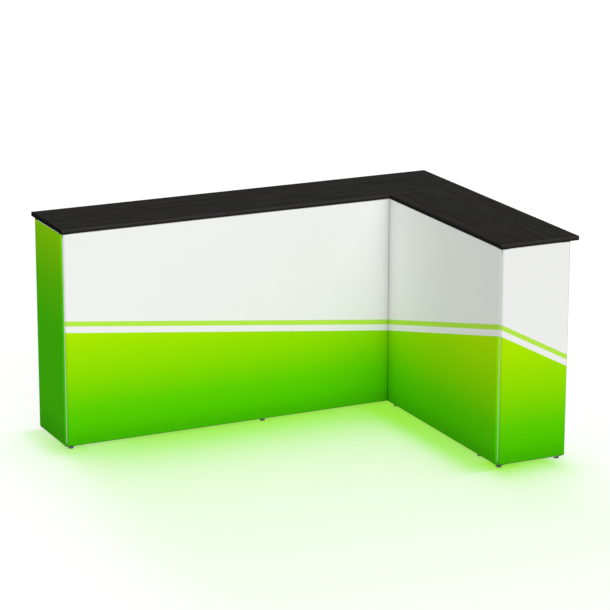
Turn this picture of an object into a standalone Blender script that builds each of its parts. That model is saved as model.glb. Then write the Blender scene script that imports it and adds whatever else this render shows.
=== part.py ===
"""Exhibition counter: two runs in an L, an aluminium frame with back-lit fabric faces.

The customers stand inside the L, in front of the long run's face and beside the short run's
inner face. The staff side is the back and the right, where the worktop overhangs a cupboard
and two open bays. Metres, +Z up, origin on the floor under the middle of the bounding box.
"""
import math

import bmesh
import bpy
from mathutils import Matrix, Vector

# The whole counter
COUNTER_LENGTH = 2.000
RUN_DEPTH = 0.350
SHORT_RUN_REACH = 1.070
FRAME_HEIGHT = 1.000
STAFF_OVERHANG = 0.045
FOOT_HEIGHT = 0.015
CLEARANCE = 0.0003
OVERRUN = 0.004

# Frame extrusions: posts and rails share one outside size and one wall
POST_SIZE = 0.040
WALL = 0.002
RAIL_LIP = 0.002
CONNECTOR_LENGTH = 0.018
CORNER_RADIUS = 0.014
POST_EDGE_RADIUS = 0.003
TOE_RADIUS = 0.012
MIDDLE_POST_DEPTH = 0.018
MIDDLE_POST_FROM_LEFT = 0.995

# Fabric faces: a thin sheet with a silicone bead sewn round its edge
FABRIC_THICKNESS = 0.0008
BEAD_WIDTH = 0.0034
BEAD_DEPTH = 0.0042
NOSE_WEB = 0.001
FABRIC_EDGE_RADIUS = 0.0022

# Worktop boards
WORKTOP_THICKNESS = 0.0195
WORKTOP_EDGE = 0.001
WORKTOP_JOINT_FROM_LEFT = 0.984
WORKTOP_JOINT_GAP = 0.0005

# Levelling feet
FOOT_INSET = 0.022
FOOT_INSET_FROM_SIDE = 0.030
FOOT_PAD_RADIUS = 0.012
FOOT_PAD_HEIGHT = 0.012
FOOT_STUD_RADIUS = 0.004
FOOT_STUD_ENGAGED = 0.026
INNER_FOOT_FROM_CORNER = 0.052
INNER_FOOT_FROM_END = 0.196

# White boards inside and on the staff side
LINER_THICKNESS = 0.003
BOARD_THICKNESS = 0.018
BOARD_EDGE = 0.0006
SHELF_HEIGHT = 0.490
SHELF_SETBACK = 0.030
PANEL_THICKNESS = 0.018
PANEL_GAP = 0.002

# Piano hinge of the cupboard door
HINGE_BARREL_RADIUS = 0.0028
HINGE_PIN_RADIUS = 0.0010
HINGE_LEAF_WIDTH = 0.018
HINGE_LEAF_THICKNESS = 0.0012
HINGE_END_GAP = 0.010
HINGE_KNUCKLES = 18

# Cam lock and bow pull of the cupboard door
LOCK_FROM_EDGE = 0.028
LOCK_FROM_TOP = 0.270
LOCK_BODY_RADIUS = 0.009
LOCK_FLANGE_RADIUS = 0.0115
LOCK_FLANGE_THICKNESS = 0.002
LOCK_PLUG_RADIUS = 0.0055
LOCK_PLUG_PROUD = 0.0008
LOCK_BODY_SETBACK = 0.0012
CAM_THICKNESS = 0.0025
CAM_END_RADIUS = 0.007
CAM_REACH = 0.040
CAM_GAP = 0.0006
KEYWAY_WIDTH = 0.0016
KEYWAY_LENGTH = 0.0070
KEYWAY_DEPTH = 0.0060
PULL_BELOW_LOCK = 0.060
PULL_SPAN = 0.128
PULL_STAND_OFF = 0.024
PULL_RADIUS = 0.004
PULL_BEND = 0.010

# Lights and their supply
LIGHT_BAR_WIDTH = 0.012
LIGHT_BAR_HEIGHT = 0.009
LIGHT_BAR_SETBACK = 0.004
LIGHT_BAR_ROUNDING = 0.003
LIGHT_BAR_END_GAP = 0.015
SUPPLY_LENGTH = 0.190
SUPPLY_WIDTH = 0.062
SUPPLY_HEIGHT = 0.042
SUPPLY_FIN_DEPTH = 0.006
SUPPLY_FIN_GAP = 0.003
SUPPLY_FIN_PITCH = 0.010
SUPPLY_FINS = 5
SUPPLY_SIDE_GAP = 0.020
INLET_FLANGE_WIDTH = 0.048
INLET_FLANGE_HEIGHT = 0.028
INLET_FLANGE_THICKNESS = 0.003
INLET_BODY_WIDTH = 0.030
INLET_BODY_HEIGHT = 0.023
INLET_WALL = 0.0025
INLET_BACK_DEPTH = 0.028
INLET_RECESS_DEPTH = 0.0185
INLET_PIN_LENGTH = 0.0115
INLET_PIN_THICKNESS = 0.002
INLET_PIN_HEIGHT = 0.004
INLET_PIN_PITCH = 0.007
INLET_PIN_STEP = 0.004

# Facets of round pieces, and the angle past which an edge between facets stays sharp
ROUND_STEPS = 20
BEVEL_STEPS = 3
CORNER_STEPS = 8
KNUCKLE_STEPS = 17
SHARP_ANGLE = math.radians(35)

# Planes of the counter, worked out from the sizes above
LEFT = -(COUNTER_LENGTH + STAFF_OVERHANG) / 2
RIGHT = LEFT + COUNTER_LENGTH
INNER_X = RIGHT - RUN_DEPTH
FRONT = -(SHORT_RUN_REACH + RUN_DEPTH + STAFF_OVERHANG) / 2
INNER_Y = FRONT + SHORT_RUN_REACH
BACK = INNER_Y + RUN_DEPTH
BOTTOM = FOOT_HEIGHT
TOP = BOTTOM + FRAME_HEIGHT
RAIL_TOP = BOTTOM + POST_SIZE
RAIL_UNDER = TOP - POST_SIZE
GROOVE_DEPTH = BEAD_DEPTH + CLEARANCE
NOSE = GROOVE_DEPTH + NOSE_WEB
MIDDLE_X = LEFT + MIDDLE_POST_FROM_LEFT
LINER_FRONT = INNER_Y + POST_SIZE + CLEARANCE
LINER_INNER = INNER_X + POST_SIZE + CLEARANCE
LINER_LEFT = LEFT + POST_SIZE + CLEARANCE
LINER_END = FRONT + POST_SIZE + CLEARANCE
BEHIND_FRONT = LINER_FRONT + LINER_THICKNESS + CLEARANCE
BEHIND_INNER = LINER_INNER + LINER_THICKNESS + CLEARANCE
BEHIND_LEFT = LINER_LEFT + LINER_THICKNESS + CLEARANCE
BEHIND_END = LINER_END + LINER_THICKNESS + CLEARANCE
BOARD_BACK = BACK - PANEL_THICKNESS - CLEARANCE
BOARD_RIGHT = RIGHT - PANEL_THICKNESS - CLEARANCE
BASE_TOP = RAIL_TOP + CLEARANCE + BOARD_THICKNESS

# The left door bay of the back, between the end post and the middle post
BAY_LEFT = LEFT + POST_SIZE
BAY_RIGHT = MIDDLE_X - POST_SIZE / 2
DOOR_LEFT = BAY_LEFT + PANEL_GAP
DOOR_RIGHT = (BAY_LEFT + BAY_RIGHT) / 2 - PANEL_GAP / 2
DOOR_BOTTOM = RAIL_TOP + PANEL_GAP
DOOR_TOP = RAIL_UNDER - PANEL_GAP
HINGE_X = BAY_LEFT + PANEL_GAP / 2
HINGE_Y = BACK + CLEARANCE + HINGE_BARREL_RADIUS
LOCK_X = DOOR_RIGHT - LOCK_FROM_EDGE
LOCK_Z = DOOR_TOP - LOCK_FROM_TOP
PANEL_BACK = BACK - PANEL_THICKNESS

X, Y, Z = 0, 1, 2

# The five outward corners in plan: where each is, which way the counter lies from it along X and
# along Y, how far in along X its foot stands, and which lit faces meet at it
CORNERS = {
    "left_front": (LEFT, INNER_Y, 1, 1, FOOT_INSET_FROM_SIDE, ("front", "left_end")),
    "left_back": (LEFT, BACK, 1, -1, FOOT_INSET_FROM_SIDE, ("left_end",)),
    "outer_corner": (RIGHT, BACK, -1, -1, FOOT_INSET_FROM_SIDE, ()),
    "end_left": (INNER_X, FRONT, 1, 1, FOOT_INSET, ("inner_side", "short_end")),
    "end_right": (RIGHT, FRONT, -1, 1, FOOT_INSET_FROM_SIDE, ("short_end",)),
}


def clear_scene():
    """Remove what the file holds, so that only the counter is left."""
    for obj in list(bpy.data.objects):
        bpy.data.objects.remove(obj, do_unlink=True)


def new_collection(name):
    collection = bpy.data.collections.new(name)
    bpy.context.scene.collection.children.link(collection)
    return collection


clear_scene()
PARTS = new_collection("exhibition_counter")
CUTTERS = new_collection("cutters")


def finish(name, color, roughness, metallic=0.0, emission=0.0):
    """A Principled material with one plain colour."""
    material = bpy.data.materials.new(name)
    material.use_nodes = True
    shader = material.node_tree.nodes["Principled BSDF"]
    shader.inputs["Base Color"].default_value = (*color, 1.0)
    shader.inputs["Roughness"].default_value = roughness
    shader.inputs["Metallic"].default_value = metallic
    shader.inputs["Emission Color"].default_value = (*color, 1.0)
    shader.inputs["Emission Strength"].default_value = emission
    return material


def add_object(name, mesh, color, roughness, metallic=0.0, emission=0.0):
    """Link a mesh as one sub-part with a material of its own."""
    obj = bpy.data.objects.new(name, mesh)
    mesh.materials.clear()
    mesh.materials.append(finish(name + "_finish", color, roughness, metallic, emission))
    PARTS.objects.link(obj)
    return obj


def add_cutter(name, mesh):
    cutter = bpy.data.objects.new(name, mesh)
    cutter.hide_render = True
    cutter.display_type = "WIRE"
    CUTTERS.objects.link(cutter)
    return cutter


def combine(obj, other, operation="DIFFERENCE"):
    """Cut a cutter out of a sub-part, or join it on."""
    modifier = obj.modifiers.new(operation.lower(), "BOOLEAN")
    modifier.operation = operation
    modifier.solver = "EXACT"
    modifier.object = other
    return obj


def block_mesh(name, size, edge=0.0, edge_steps=1):
    """A box of the given size about its own centre, with its edges rounded by edge."""
    mesh = bpy.data.meshes.new(name)
    shape = bmesh.new()
    bmesh.ops.create_cube(shape, size=1)
    bmesh.ops.scale(shape, vec=size, verts=shape.verts)
    if edge:
        bmesh.ops.bevel(shape, geom=shape.edges[:], offset=edge, offset_type="OFFSET",
                        segments=edge_steps, profile=0.5, affect="EDGES")
    shape.to_mesh(mesh)
    shape.free()
    return mesh


def span(low, high):
    """Centre and size of the box between two corners."""
    low, high = Vector(low), Vector(high)
    return (low + high) / 2, high - low


def block(name, low, high, look, edge=0.0, edge_steps=1):
    """A sub-part that is a box between two corners."""
    centre, size = span(low, high)
    obj = add_object(name, block_mesh(name, size, edge, edge_steps), **look)
    obj.location = centre
    return obj


def block_cutter(name, low, high):
    centre, size = span(low, high)
    cutter = add_cutter(name, block_mesh(name, size))
    cutter.location = centre
    return cutter


def cylinder_mesh(name, radius, length, steps=ROUND_STEPS):
    """A capped cylinder about its own centre, along Z."""
    mesh = bpy.data.meshes.new(name)
    shape = bmesh.new()
    bmesh.ops.create_cone(shape, cap_ends=True, segments=steps, radius1=radius,
                          radius2=radius, depth=length)
    shape.to_mesh(mesh)
    shape.free()
    mesh.shade_smooth()
    mesh.set_sharp_from_angle(angle=SHARP_ANGLE)
    return mesh


def cylinder_cutter(name, centre, radius, length, turn=None):
    cutter = add_cutter(name, cylinder_mesh(name, radius, length))
    cutter.location = centre
    if turn:
        cutter.rotation_euler = turn
    return cutter


def outline_mesh(name, points, thickness):
    """A flat closed outline, filled and given a thickness along Z about its own plane."""
    curve = bpy.data.curves.new(name, "CURVE")
    curve.dimensions = "2D"
    curve.fill_mode = "BOTH"
    curve.extrude = thickness / 2
    spline = curve.splines.new("POLY")
    spline.points.add(len(points) - 1)
    for place, (x, y) in zip(spline.points, points):
        place.co = (x, y, 0, 1)
    spline.use_cyclic_u = True
    guide = bpy.data.objects.new(name + "_outline", curve)
    bpy.context.scene.collection.objects.link(guide)
    bpy.context.view_layer.update()
    evaluated = guide.evaluated_get(bpy.context.evaluated_depsgraph_get())
    mesh = bpy.data.meshes.new_from_object(evaluated)
    bpy.data.objects.remove(guide, do_unlink=True)
    shape = bmesh.new()
    shape.from_mesh(mesh)
    bmesh.ops.remove_doubles(shape, verts=shape.verts, dist=CLEARANCE / 10)
    bmesh.ops.recalc_face_normals(shape, faces=shape.faces)
    shape.to_mesh(mesh)
    shape.free()
    mesh.shade_smooth()
    mesh.set_sharp_from_angle(angle=SHARP_ANGLE)
    mesh.name = name
    return mesh


def round_off(name, radius, length, start, sides):
    """A cutter that leaves a quarter circle where an edge was: the square corner outside it,
    drawn on X and Y from the edge itself and length long on Z."""
    points = [(-start, -start), (radius, -start)]
    for step in range(CORNER_STEPS + 1):
        angle = math.radians(270 - 90 * step / CORNER_STEPS)
        points.append((radius + radius * math.cos(angle), radius + radius * math.sin(angle)))
    points.append((-start, radius))
    side_x, side_y = sides
    return add_cutter(name, outline_mesh(name, [(side_x * x, side_y * y) for x, y in points],
                                         length))


def corner_rounding(corner, inset):
    """The upright cutter that rounds one corner of the plan, moved in from it by inset: widely
    between two lit faces, and only slightly elsewhere."""
    x, y, side_x, side_y, _, lit = CORNERS[corner]
    radius = CORNER_RADIUS if len(lit) == 2 else POST_EDGE_RADIUS
    cutter = round_off(f"{corner}_rounding", radius - inset,
                       FRAME_HEIGHT + 4 * OVERRUN, OVERRUN, (side_x, side_y))
    cutter.location = (x + side_x * inset, y + side_y * inset, BOTTOM + FRAME_HEIGHT / 2)
    return cutter


ALONG_Y = (math.radians(90), 0, 0)
ALONG_X = (math.radians(90), 0, math.radians(90))

ALUMINIUM = dict(color=(0.62, 0.63, 0.64), roughness=0.35, metallic=1.0)
PRINT = dict(color=(0.20, 0.62, 0.02), roughness=0.8, emission=0.35)
LAMINATE = dict(color=(0.022, 0.021, 0.020), roughness=0.45)
WHITE_BOARD = dict(color=(0.80, 0.80, 0.79), roughness=0.5)
BLACK_PLASTIC = dict(color=(0.03, 0.03, 0.032), roughness=0.45)
GREY_PLASTIC = dict(color=(0.16, 0.16, 0.17), roughness=0.5)
STEEL = dict(color=(0.55, 0.55, 0.56), roughness=0.3, metallic=1.0)
LIT_LENS = dict(color=(0.95, 0.97, 1.0), roughness=0.3, emission=2.0)

# Each lit face: its outward axis, its plane, the axis along it and where the fabric starts and ends
LIT_FACES = {
    "front": (Y, INNER_Y, X, LEFT + NOSE, INNER_X - RAIL_LIP),
    "left_end": (X, LEFT, Y, INNER_Y + NOSE, BACK - RAIL_LIP),
    "inner_side": (X, INNER_X, Y, FRONT + NOSE, INNER_Y - RAIL_LIP),
    "short_end": (Y, FRONT, X, INNER_X + NOSE, RIGHT - RAIL_LIP),
}


def face_box(face, start, stop, low_z, high_z, near, far):
    """Corners of a box on a lit face, near and far being depths behind its plane."""
    normal, plane, along = LIT_FACES[face][:3]
    low, high = Vector((0, 0, low_z)), Vector((0, 0, high_z))
    low[normal], high[normal] = plane + near, plane + far
    low[along], high[along] = start, stop
    return low, high


def fabric_shell(face, grow, proud):
    """Corners of the tray that a fabric and its bead fill, grown by grow on every side."""
    start, stop = LIT_FACES[face][3:]
    low_z, high_z = BOTTOM + RAIL_LIP, TOP - RAIL_LIP
    rim = BEAD_WIDTH + grow
    outer = face_box(face, start - grow, stop + grow, low_z - grow, high_z + grow,
                     -proud, BEAD_DEPTH + grow)
    hollow = face_box(face, start + rim, stop - rim, low_z + rim, high_z - rim,
                      FABRIC_THICKNESS + grow, BEAD_DEPTH + grow + OVERRUN)
    return outer, hollow


def round_corners(obj, face, inset):
    """Follow the wide corners at a lit face's ends, at a depth of inset behind its plane."""
    for corner, place in CORNERS.items():
        if face in place[-1] and len(place[-1]) == 2:
            combine(obj, corner_rounding(corner, inset))
    return obj


def round_toe(mesh, face, margin):
    """Round the lower corner of a tray at its lit face's free end, where the post's toe is
    rounded, margin being how far in from the frame's edges the tray's outline lies."""
    if not any(place[-1] == (face,) for place in CORNERS.values()):
        return
    along = LIT_FACES[face][2]
    shape = bmesh.new()
    shape.from_mesh(mesh)
    end = max(vert.co[along] for vert in shape.verts)
    foot_level = min(vert.co[Z] for vert in shape.verts)
    edges = [edge for edge in shape.edges
             if all(abs(vert.co[along] - end) < CLEARANCE
                    and abs(vert.co[Z] - foot_level) < CLEARANCE for vert in edge.verts)]
    bmesh.ops.bevel(shape, geom=edges, offset=TOE_RADIUS - margin, offset_type="OFFSET",
                    segments=CORNER_STEPS, profile=0.5, affect="EDGES")
    shape.to_mesh(mesh)
    shape.free()


def groove_cutter(face):
    """The groove round a lit face, with the shallow seat that its fabric lies in."""
    outer, hollow = fabric_shell(face, CLEARANCE, OVERRUN)
    cutter = block_cutter(face + "_groove", *outer)
    round_toe(cutter.data, face, RAIL_LIP - CLEARANCE)
    land = block_cutter(face + "_land", *hollow)
    round_toe(land.data, face, RAIL_LIP + BEAD_WIDTH + CLEARANCE)
    return combine(cutter, round_corners(land, face, FABRIC_THICKNESS + CLEARANCE))


GROOVES = {face: groove_cutter(face) for face in LIT_FACES}


def round_front(mesh, normal):
    """Round the edges of a tray's outer face, where the fabric turns into its groove."""
    shape = bmesh.new()
    shape.from_mesh(mesh)
    front = min(vert.co[normal] for vert in shape.verts)
    edges = [edge for edge in shape.edges
             if all(abs(vert.co[normal] - front) < CLEARANCE for vert in edge.verts)]
    bmesh.ops.bevel(shape, geom=edges, offset=FABRIC_EDGE_RADIUS, offset_type="OFFSET",
                    segments=BEVEL_STEPS, profile=0.5, affect="EDGES")
    shape.to_mesh(mesh)
    shape.free()


def fabric(face):
    """A stretched sheet with its silicone bead tucked into the frame's groove."""
    outer, hollow = fabric_shell(face, 0, 0)
    obj = block("fabric_" + face, *outer, PRINT)
    round_toe(obj.data, face, RAIL_LIP)
    round_front(obj.data, LIT_FACES[face][0])
    back = block_cutter(face + "_fabric_back", *hollow)
    round_toe(back.data, face, RAIL_LIP + BEAD_WIDTH)
    return combine(round_corners(obj, face, 0), round_corners(back, face, FABRIC_THICKNESS))


def hollow_member(name, low, high, along, lit, corner=None):
    """A square extrusion, hollow along its length, with grooves for the lit faces it carries.
    One that stands at a corner is rounded there and closed by its connectors."""
    obj = block(name, low, high, ALUMINIUM)
    inside_low, inside_high = Vector(low), Vector(high)
    for axis in (X, Y, Z):
        inside_low[axis] += WALL
        inside_high[axis] -= WALL
    for face in lit:
        inside_low[LIT_FACES[face][0]] = LIT_FACES[face][1] + GROOVE_DEPTH + WALL
    reach = -CONNECTOR_LENGTH if corner else OVERRUN
    inside_low[along] = low[along] - reach
    inside_high[along] = high[along] + reach
    hollow = block_cutter(name + "_hollow", inside_low, inside_high)
    if corner:
        combine(hollow, corner_rounding(corner, WALL))
        combine(obj, corner_rounding(corner, 0))
    combine(obj, hollow)
    for face in lit:
        combine(obj, GROOVES[face])
    return obj


def stud_hole(obj, x, y, depth):
    """A clearance hole for a foot's stud, up through the underside of a member."""
    length = depth + 2 * OVERRUN
    centre = (x, y, BOTTOM + depth / 2)
    return combine(obj, cylinder_cutter(obj.name + "_stud_hole", centre,
                                        FOOT_STUD_RADIUS + CLEARANCE, length))


def toe_rounding(corner, normal):
    """The cutter that rounds a connector's lower edge on the side that faces along normal."""
    x, y, side_x, side_y = CORNERS[corner][:4]
    side = side_x if normal == X else side_y
    cutter = round_off(f"{corner}_toe", TOE_RADIUS, 2 * POST_SIZE + 4 * OVERRUN, OVERRUN,
                       (side, 1))
    cutter.location = (x, y, BOTTOM)
    cutter.rotation_euler = ALONG_Y if normal == X else ALONG_X
    return cutter


def corner_posts():
    """Five corner posts, closed by their connectors at both ends and standing on feet. The
    connectors' lower edges are rounded on the sides that carry no fabric."""
    for name, (x, y, side_x, side_y, foot_inset, lit) in CORNERS.items():
        far_x, far_y = x + side_x * POST_SIZE, y + side_y * POST_SIZE
        post = hollow_member("post_" + name, (min(x, far_x), min(y, far_y), BOTTOM),
                             (max(x, far_x), max(y, far_y), TOP), Z, lit, name)
        lit_normals = {LIT_FACES[face][0] for face in lit}
        for normal in (X, Y):
            if normal not in lit_normals:
                combine(post, toe_rounding(name, normal))
        foot_x, foot_y = x + side_x * foot_inset, y + side_y * FOOT_INSET
        stud_hole(post, foot_x, foot_y, CONNECTOR_LENGTH)
        foot("foot_" + name, foot_x, foot_y)


def inner_corner_post():
    """The post in the L's inner corner: three hollow chambers, and a groove for each fabric."""
    post = block("post_inner_corner", (INNER_X - POST_SIZE, INNER_Y, BOTTOM),
                 (INNER_X + POST_SIZE, INNER_Y + POST_SIZE, TOP), ALUMINIUM)
    leg = block_cutter("inner_leg", (INNER_X, INNER_Y - POST_SIZE, BOTTOM),
                       (INNER_X + POST_SIZE, INNER_Y + POST_SIZE / 2, TOP))
    combine(post, leg, "UNION")
    inset = GROOVE_DEPTH + WALL
    near_x, near_y = INNER_X + inset, INNER_Y + inset
    far_x, far_y = INNER_X + POST_SIZE - WALL, INNER_Y + POST_SIZE - WALL
    cores = {
        "inner_core_middle": ((near_x, near_y), (far_x, far_y)),
        "inner_core_left": ((INNER_X - POST_SIZE + WALL, near_y), (near_x - WALL, far_y)),
        "inner_core_near": ((near_x, INNER_Y - POST_SIZE + WALL), (far_x, near_y - WALL)),
    }
    for name, (low, high) in cores.items():
        combine(post, block_cutter(name, (*low, BOTTOM - OVERRUN), (*high, TOP + OVERRUN)))
    combine(post, GROOVES["front"])
    combine(post, GROOVES["inner_side"])


def middle_posts():
    """Two flat posts half way along the long run, between its lower and upper rails."""
    for name, back in (("post_front_middle", INNER_Y + POST_SIZE), ("post_back_middle", BACK)):
        low = (MIDDLE_X - POST_SIZE / 2, back - MIDDLE_POST_DEPTH, RAIL_TOP + CLEARANCE)
        high = (MIDDLE_X + POST_SIZE / 2, back, RAIL_UNDER - CLEARANCE)
        hollow_member(name, low, high, Z, ())


def rail(name, start, stop, along, lit, studs=()):
    """A lower and an upper rail on one side, each with a groove where that side is lit."""
    for level, low_z, high_z in (("lower", BOTTOM, RAIL_TOP), ("upper", RAIL_UNDER, TOP)):
        member = hollow_member(f"rail_{name}_{level}", (*start, low_z), (*stop, high_z),
                               along, lit)
        if level == "lower":
            for foot_name, x, y in studs:
                stud_hole(member, x, y, WALL)
                foot(foot_name, x, y)


def rails():
    post, gap = POST_SIZE, CLEARANCE
    rail("front", (LEFT + post + gap, INNER_Y), (INNER_X - post - gap, INNER_Y + post), X,
         ("front",), [("foot_front_middle", MIDDLE_X, INNER_Y + FOOT_INSET)])
    rail("left_end", (LEFT, INNER_Y + post + gap), (LEFT + post, BACK - post - gap), Y,
         ("left_end",))
    rail("back", (LEFT + post + gap, BACK - post), (RIGHT - post - gap, BACK), X, (),
         [("foot_back_middle", MIDDLE_X, BACK - FOOT_INSET)])
    rail("right_side", (RIGHT - post, FRONT + post + gap), (RIGHT, BACK - post - gap), Y, ())
    rail("inner_side", (INNER_X, FRONT + post + gap), (INNER_X + post, INNER_Y - post - gap), Y,
         ("inner_side",),
         [("foot_inner_near", INNER_X + FOOT_INSET, INNER_Y - INNER_FOOT_FROM_CORNER),
          ("foot_inner_far", INNER_X + FOOT_INSET, FRONT + INNER_FOOT_FROM_END)])
    rail("short_end", (INNER_X + post + gap, FRONT), (RIGHT - post - gap, FRONT + post), X,
         ("short_end",))


def foot(name, x, y):
    """A levelling foot: a pad and a threaded stud, turned in one profile."""
    profile = [
        (0, FOOT_HEIGHT + FOOT_STUD_ENGAGED),
        (FOOT_STUD_RADIUS, FOOT_HEIGHT + FOOT_STUD_ENGAGED),
        (FOOT_STUD_RADIUS, FOOT_PAD_HEIGHT),
        (FOOT_PAD_RADIUS, FOOT_PAD_HEIGHT),
        (FOOT_PAD_RADIUS, 0),
        (0, 0),
    ]
    mesh = bpy.data.meshes.new(name)
    mesh.from_pydata([(r, 0, z) for r, z in profile],
                     [(i, i + 1) for i in range(len(profile) - 1)], [])
    obj = add_object(name, mesh, **BLACK_PLASTIC)
    obj.location = (x, y, 0)
    turn = obj.modifiers.new("turn", "SCREW")
    turn.steps = ROUND_STEPS
    turn.render_steps = ROUND_STEPS
    turn.use_merge_vertices = True
    turn.merge_threshold = CLEARANCE / 10
    turn.use_smooth_shade = True
    return obj


def worktops():
    """Two boards over the long run and one over the short run, flush on the customer side."""
    under = TOP + CLEARANCE
    upper = under + WORKTOP_THICKNESS
    joint = LEFT + WORKTOP_JOINT_FROM_LEFT
    gap = WORKTOP_JOINT_GAP / 2
    right, back = RIGHT + STAFF_OVERHANG, BACK + STAFF_OVERHANG
    boards = {
        "worktop_long_left": ((LEFT, INNER_Y), (joint - gap, back)),
        "worktop_long_right": ((joint + gap, INNER_Y), (right, back)),
        "worktop_short": ((INNER_X, FRONT), (right, INNER_Y - gap - gap)),
    }
    for name, (low, high) in boards.items():
        block(name, (*low, under), (*high, upper), LAMINATE, WORKTOP_EDGE)


def liners():
    """White sheets behind the posts and rails, which close the light spaces."""
    sheets = {
        "liner_front": ((LINER_LEFT, LINER_FRONT),
                        (LINER_INNER + LINER_THICKNESS, LINER_FRONT + LINER_THICKNESS)),
        "liner_left_end": ((LINER_LEFT, BEHIND_FRONT),
                           (LINER_LEFT + LINER_THICKNESS, BACK - POST_SIZE - CLEARANCE)),
        "liner_inner_side": ((LINER_INNER, LINER_END),
                             (LINER_INNER + LINER_THICKNESS, LINER_FRONT - CLEARANCE)),
        "liner_short_end": ((BEHIND_INNER, LINER_END),
                            (RIGHT - POST_SIZE - CLEARANCE, LINER_END + LINER_THICKNESS)),
    }
    for name, (low, high) in sheets.items():
        block(name, (*low, BOTTOM), (*high, TOP), WHITE_BOARD)


def boards():
    """Bases, shelves and the partition between the cupboard and the open bays."""
    base_low = RAIL_TOP + CLEARANCE
    open_right = RIGHT - POST_SIZE - CLEARANCE
    short_far = BEHIND_FRONT - CLEARANCE
    split = MIDDLE_X - BOARD_THICKNESS / 2, MIDDLE_X + BOARD_THICKNESS / 2
    layout = {
        "base_long": ((BEHIND_LEFT, BEHIND_FRONT), (open_right, BOARD_BACK), base_low),
        "base_short": ((BEHIND_INNER, BEHIND_END), (BOARD_RIGHT, short_far), base_low),
        "shelf_cupboard": ((BEHIND_LEFT, BEHIND_FRONT),
                           (split[0] - CLEARANCE, BOARD_BACK - SHELF_SETBACK), SHELF_HEIGHT),
        "shelf_long": ((split[1] + CLEARANCE, BEHIND_FRONT), (open_right, BOARD_BACK),
                       SHELF_HEIGHT),
        "shelf_short": ((BEHIND_INNER, BEHIND_END), (BOARD_RIGHT, short_far), SHELF_HEIGHT),
    }
    for name, (low, high, under) in layout.items():
        block(name, (*low, under), (*high, under + BOARD_THICKNESS), WHITE_BOARD, BOARD_EDGE)
    block("partition", (split[0], BEHIND_FRONT, BASE_TOP + CLEARANCE),
          (split[1], BOARD_BACK, RAIL_UNDER - CLEARANCE), WHITE_BOARD, BOARD_EDGE)


def repeat_mesh(mesh, heights):
    """Copies of one mesh at several heights, as a single mesh of separate shapes."""
    result = bmesh.new()
    for height in heights:
        first = len(result.verts)
        result.from_mesh(mesh)
        result.verts.ensure_lookup_table()
        bmesh.ops.translate(result, vec=(0, 0, height), verts=result.verts[first:])
    result.to_mesh(mesh)
    result.free()
    return mesh


def knuckle_outline(side):
    """A hinge knuckle: a circle round the pin that runs out into a flat leaf on one side."""
    radius, thickness = HINGE_BARREL_RADIUS, HINGE_LEAF_THICKNESS
    reach = radius + CLEARANCE + HINGE_LEAF_WIDTH / 4
    start = math.radians(-90)
    stop = -math.asin((radius - thickness) / radius) - math.radians(360)
    points = [(reach, thickness - radius), (reach, -radius)]
    for step in range(KNUCKLE_STEPS):
        angle = start + (stop - start) * step / (KNUCKLE_STEPS - 1)
        points.append((radius * math.cos(angle), radius * math.sin(angle)))
    return [(side * x, y) for x, y in points]


def hinge():
    """A piano hinge on the back faces of the end post and the door, its knuckles in turn."""
    low, high = DOOR_BOTTOM + HINGE_END_GAP, DOOR_TOP - HINGE_END_GAP
    pitch = (high - low) / HINGE_KNUCKLES
    near = HINGE_BARREL_RADIUS + CLEARANCE
    bore = cylinder_cutter("hinge_bore", (HINGE_X, HINGE_Y, (low + high) / 2),
                           HINGE_PIN_RADIUS + CLEARANCE, high - low + 2 * OVERRUN)
    for name, side, first in (("hinge_leaf_frame", -1, 0), ("hinge_leaf_door", 1, 1)):
        edges = sorted((HINGE_X + side * near, HINGE_X + side * (near + HINGE_LEAF_WIDTH)))
        leaf = block(name, (edges[0], BACK + CLEARANCE, low),
                     (edges[1], BACK + CLEARANCE + HINGE_LEAF_THICKNESS, high), STEEL)
        knuckle = outline_mesh(name + "_knuckle", knuckle_outline(side), pitch - CLEARANCE)
        heights = [pitch * (i + 0.5) for i in range(first, HINGE_KNUCKLES, 2)]
        knuckles = add_cutter(name + "_knuckles", repeat_mesh(knuckle, heights))
        knuckles.location = (HINGE_X, HINGE_Y, low)
        combine(leaf, knuckles, "UNION")
        combine(leaf, bore)
    pin = add_object("hinge_pin", cylinder_mesh("hinge_pin", HINGE_PIN_RADIUS, high - low),
                     **STEEL)
    pin.location = (HINGE_X, HINGE_Y, (low + high) / 2)


def stadium(length, radius):
    """A round-ended bar that starts round the origin and reaches down by length."""
    half = ROUND_STEPS // 2
    top = [math.radians(180) * i / half for i in range(half + 1)]
    points = [(radius * math.cos(a), radius * math.sin(a)) for a in top]
    return points + [(-x, -y - length) for x, y in points]


def door_and_panel():
    """The cupboard's hinged door and the fixed panel that its lock catches behind."""
    door = block("door", (DOOR_LEFT, PANEL_BACK, DOOR_BOTTOM), (DOOR_RIGHT, BACK, DOOR_TOP),
                 WHITE_BOARD, BOARD_EDGE)
    combine(door, cylinder_cutter("lock_hole", (LOCK_X, BACK, LOCK_Z),
                                  LOCK_BODY_RADIUS + CLEARANCE, 4 * PANEL_THICKNESS, ALONG_Y))
    panel = block("fixed_panel", (DOOR_RIGHT + PANEL_GAP, PANEL_BACK, RAIL_TOP + CLEARANCE),
                  (BAY_RIGHT - CLEARANCE, BACK, RAIL_UNDER - CLEARANCE), WHITE_BOARD, BOARD_EDGE)
    half = Vector((INLET_BODY_WIDTH / 2 + CLEARANCE, 0, INLET_BODY_HEIGHT / 2 + CLEARANCE))
    middle = Vector(inlet_place())
    depth = Vector((0, PANEL_THICKNESS + OVERRUN, 0))
    combine(panel, block_cutter("inlet_hole", middle - half - depth, middle + half + depth))


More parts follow.
